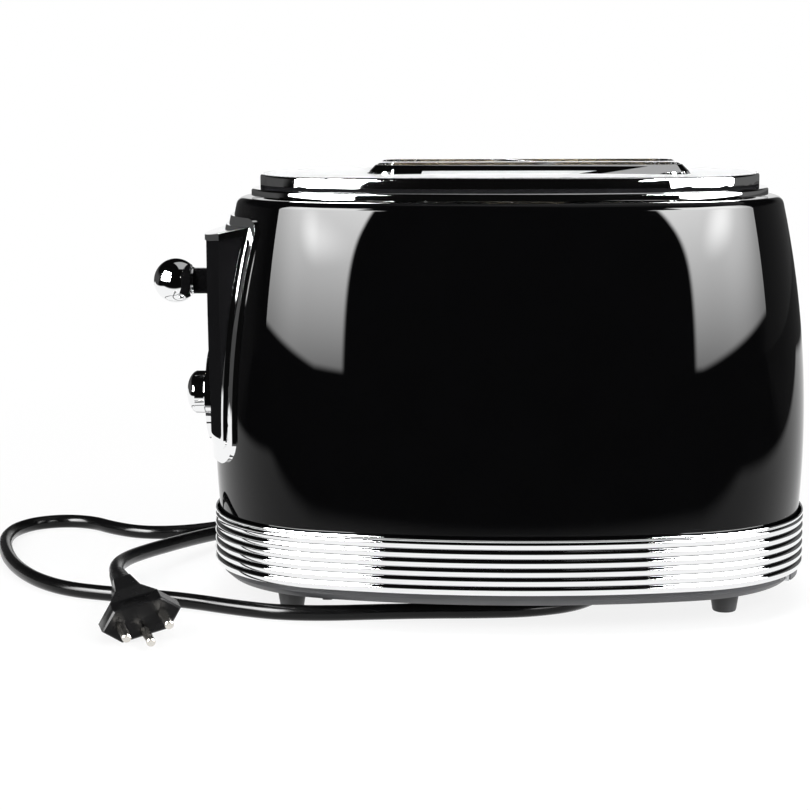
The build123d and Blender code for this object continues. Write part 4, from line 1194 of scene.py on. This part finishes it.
@dataclass
class Surround:
    """What is round the stage: white to the camera, a pale wall behind, grey beside, dark elsewhere.

    Pairs are where a change starts and ends, in parts of the way from the toaster.
    """

    ambient: float = 0.35
    dark: float = 0.003
    wall: float = 0.95
    wall_edge: Pair = (0.965, 0.985)
    wall_top: Pair = (0.26, 0.34)
    left_grey: float = 0.07
    right_grey: float = 0.12
    side_edge: Pair = (0.0, 0.3)
    side_front: Pair = (-0.15, 0.15)
    side_top: Pair = (0.18, 0.4)

    def mirrored(self, graph: Graph) -> Socket:
        """Work out how bright the surround is in the parts that mirror it.

        Args:
            graph: The surround's nodes.

        Returns:
            The brightness.
        """
        x, y, z = graph.split(graph.place("Generated"))
        low = graph.rest(graph.rise(z, *self.wall_top))
        wall = graph.times(graph.rise(y, *self.wall_edge), low, self.wall)
        left = graph.rise(graph.times(x, -1.0), *self.side_edge, high=self.left_grey)
        right = graph.rise(x, *self.side_edge, high=self.right_grey)
        beside = graph.times(graph.work("ADD", left, right), graph.rise(y, *self.side_front),
                             graph.rest(graph.rise(z, *self.side_top)))
        return graph.work("ADD", graph.work("MAXIMUM", wall, beside), self.dark)

    def build(self) -> None:
        """Make the surround and use it as the world."""
        world = bpy.data.worlds.new("surround")
        bpy.context.scene.world = world
        graph = Graph(world)
        background = graph.tree.nodes["Background"]
        background.inputs["Color"].default_value = (1.0, 1.0, 1.0, 1.0)
        rays = graph.add("ShaderNodeLightPath", {}).outputs
        unseen = graph.mix(rays["Is Glossy Ray"], self.ambient, self.mirrored(graph))
        graph.feed(background.inputs["Strength"], graph.mix(rays["Is Camera Ray"], unseen, 1.0))


@dataclass
class Viewpoint:
    """The camera: a long lens, a little above the toaster's top. Its turns are in radians."""

    place: Point = (MIDDLE, -1.0111, 0.243204)
    pitch: float = 0.1511
    yaw: float = 0.0485
    roll: float = -0.0043
    lens: float = 95.244

    def build(self) -> None:
        """Set the camera up."""
        camera = bpy.data.cameras.new("camera")
        camera.lens = self.lens
        holder = put_in_scene("camera", camera)
        turn = Matrix.Rotation(self.yaw, 4, "Z") @ Matrix.Rotation(math.pi / 2 - self.pitch, 4, "X")
        turn = turn @ Matrix.Rotation(self.roll, 4, "Z")
        holder.matrix_world = Matrix.Translation(self.place) @ turn
        bpy.context.scene.camera = holder


def build_lamps() -> None:
    """Hang a softbox each side in front, a dim panel overhead, and even light from above."""
    toaster = (0.0, 0.0, 0.1)
    for lamp in (
        Softbox("softbox_left", (-1.009, -0.83, 0.721), (-0.076, -0.075, 0.721), (1.33, 1.25), 52.0,
                spot=(0.648, 0.356, 0.0)),
        Softbox("softbox_right", (1.13, -0.67, 0.721), (0.09, -0.07, 0.721), (1.72, 1.25), 52.0,
                spot=(0.444, 0.351, 0.0), near_right=False, near_edge=0.85, far_share=0.25),
        Lamp("panel_above", (0.35, 0.25, 1.25), toaster, (1.1, 1.1), 0.42, lights=False),
        Lamp("fill_left", (-1.1, -0.9, 1.0), toaster, (0.9, 0.9), 6.0, shows=False),
        Lamp("fill_right", (1.2, -0.8, 1.0), toaster, (0.9, 0.9), 6.0, shows=False),
        Lamp("fill_above", (0.0, 0.3, 1.6), toaster, (1.6, 1.3), 1.8, shows=False),
    ):
        lamp.build()


def main() -> None:
    """Build the toaster and its studio, in order."""
    logging.basicConfig(level=logging.INFO, format="%(message)s")
    outline = Outline()
    for part in (Lead(), Housing(outline), Footing(), Top(), Controls(), Lever(), Works(),
                 Floor(), Surround(), Viewpoint()):
        part.build()
    build_lamps()
    bpy.context.scene.view_settings.view_transform = "Standard"
    clear_selection()


if __name__ == "__main__":
    main()
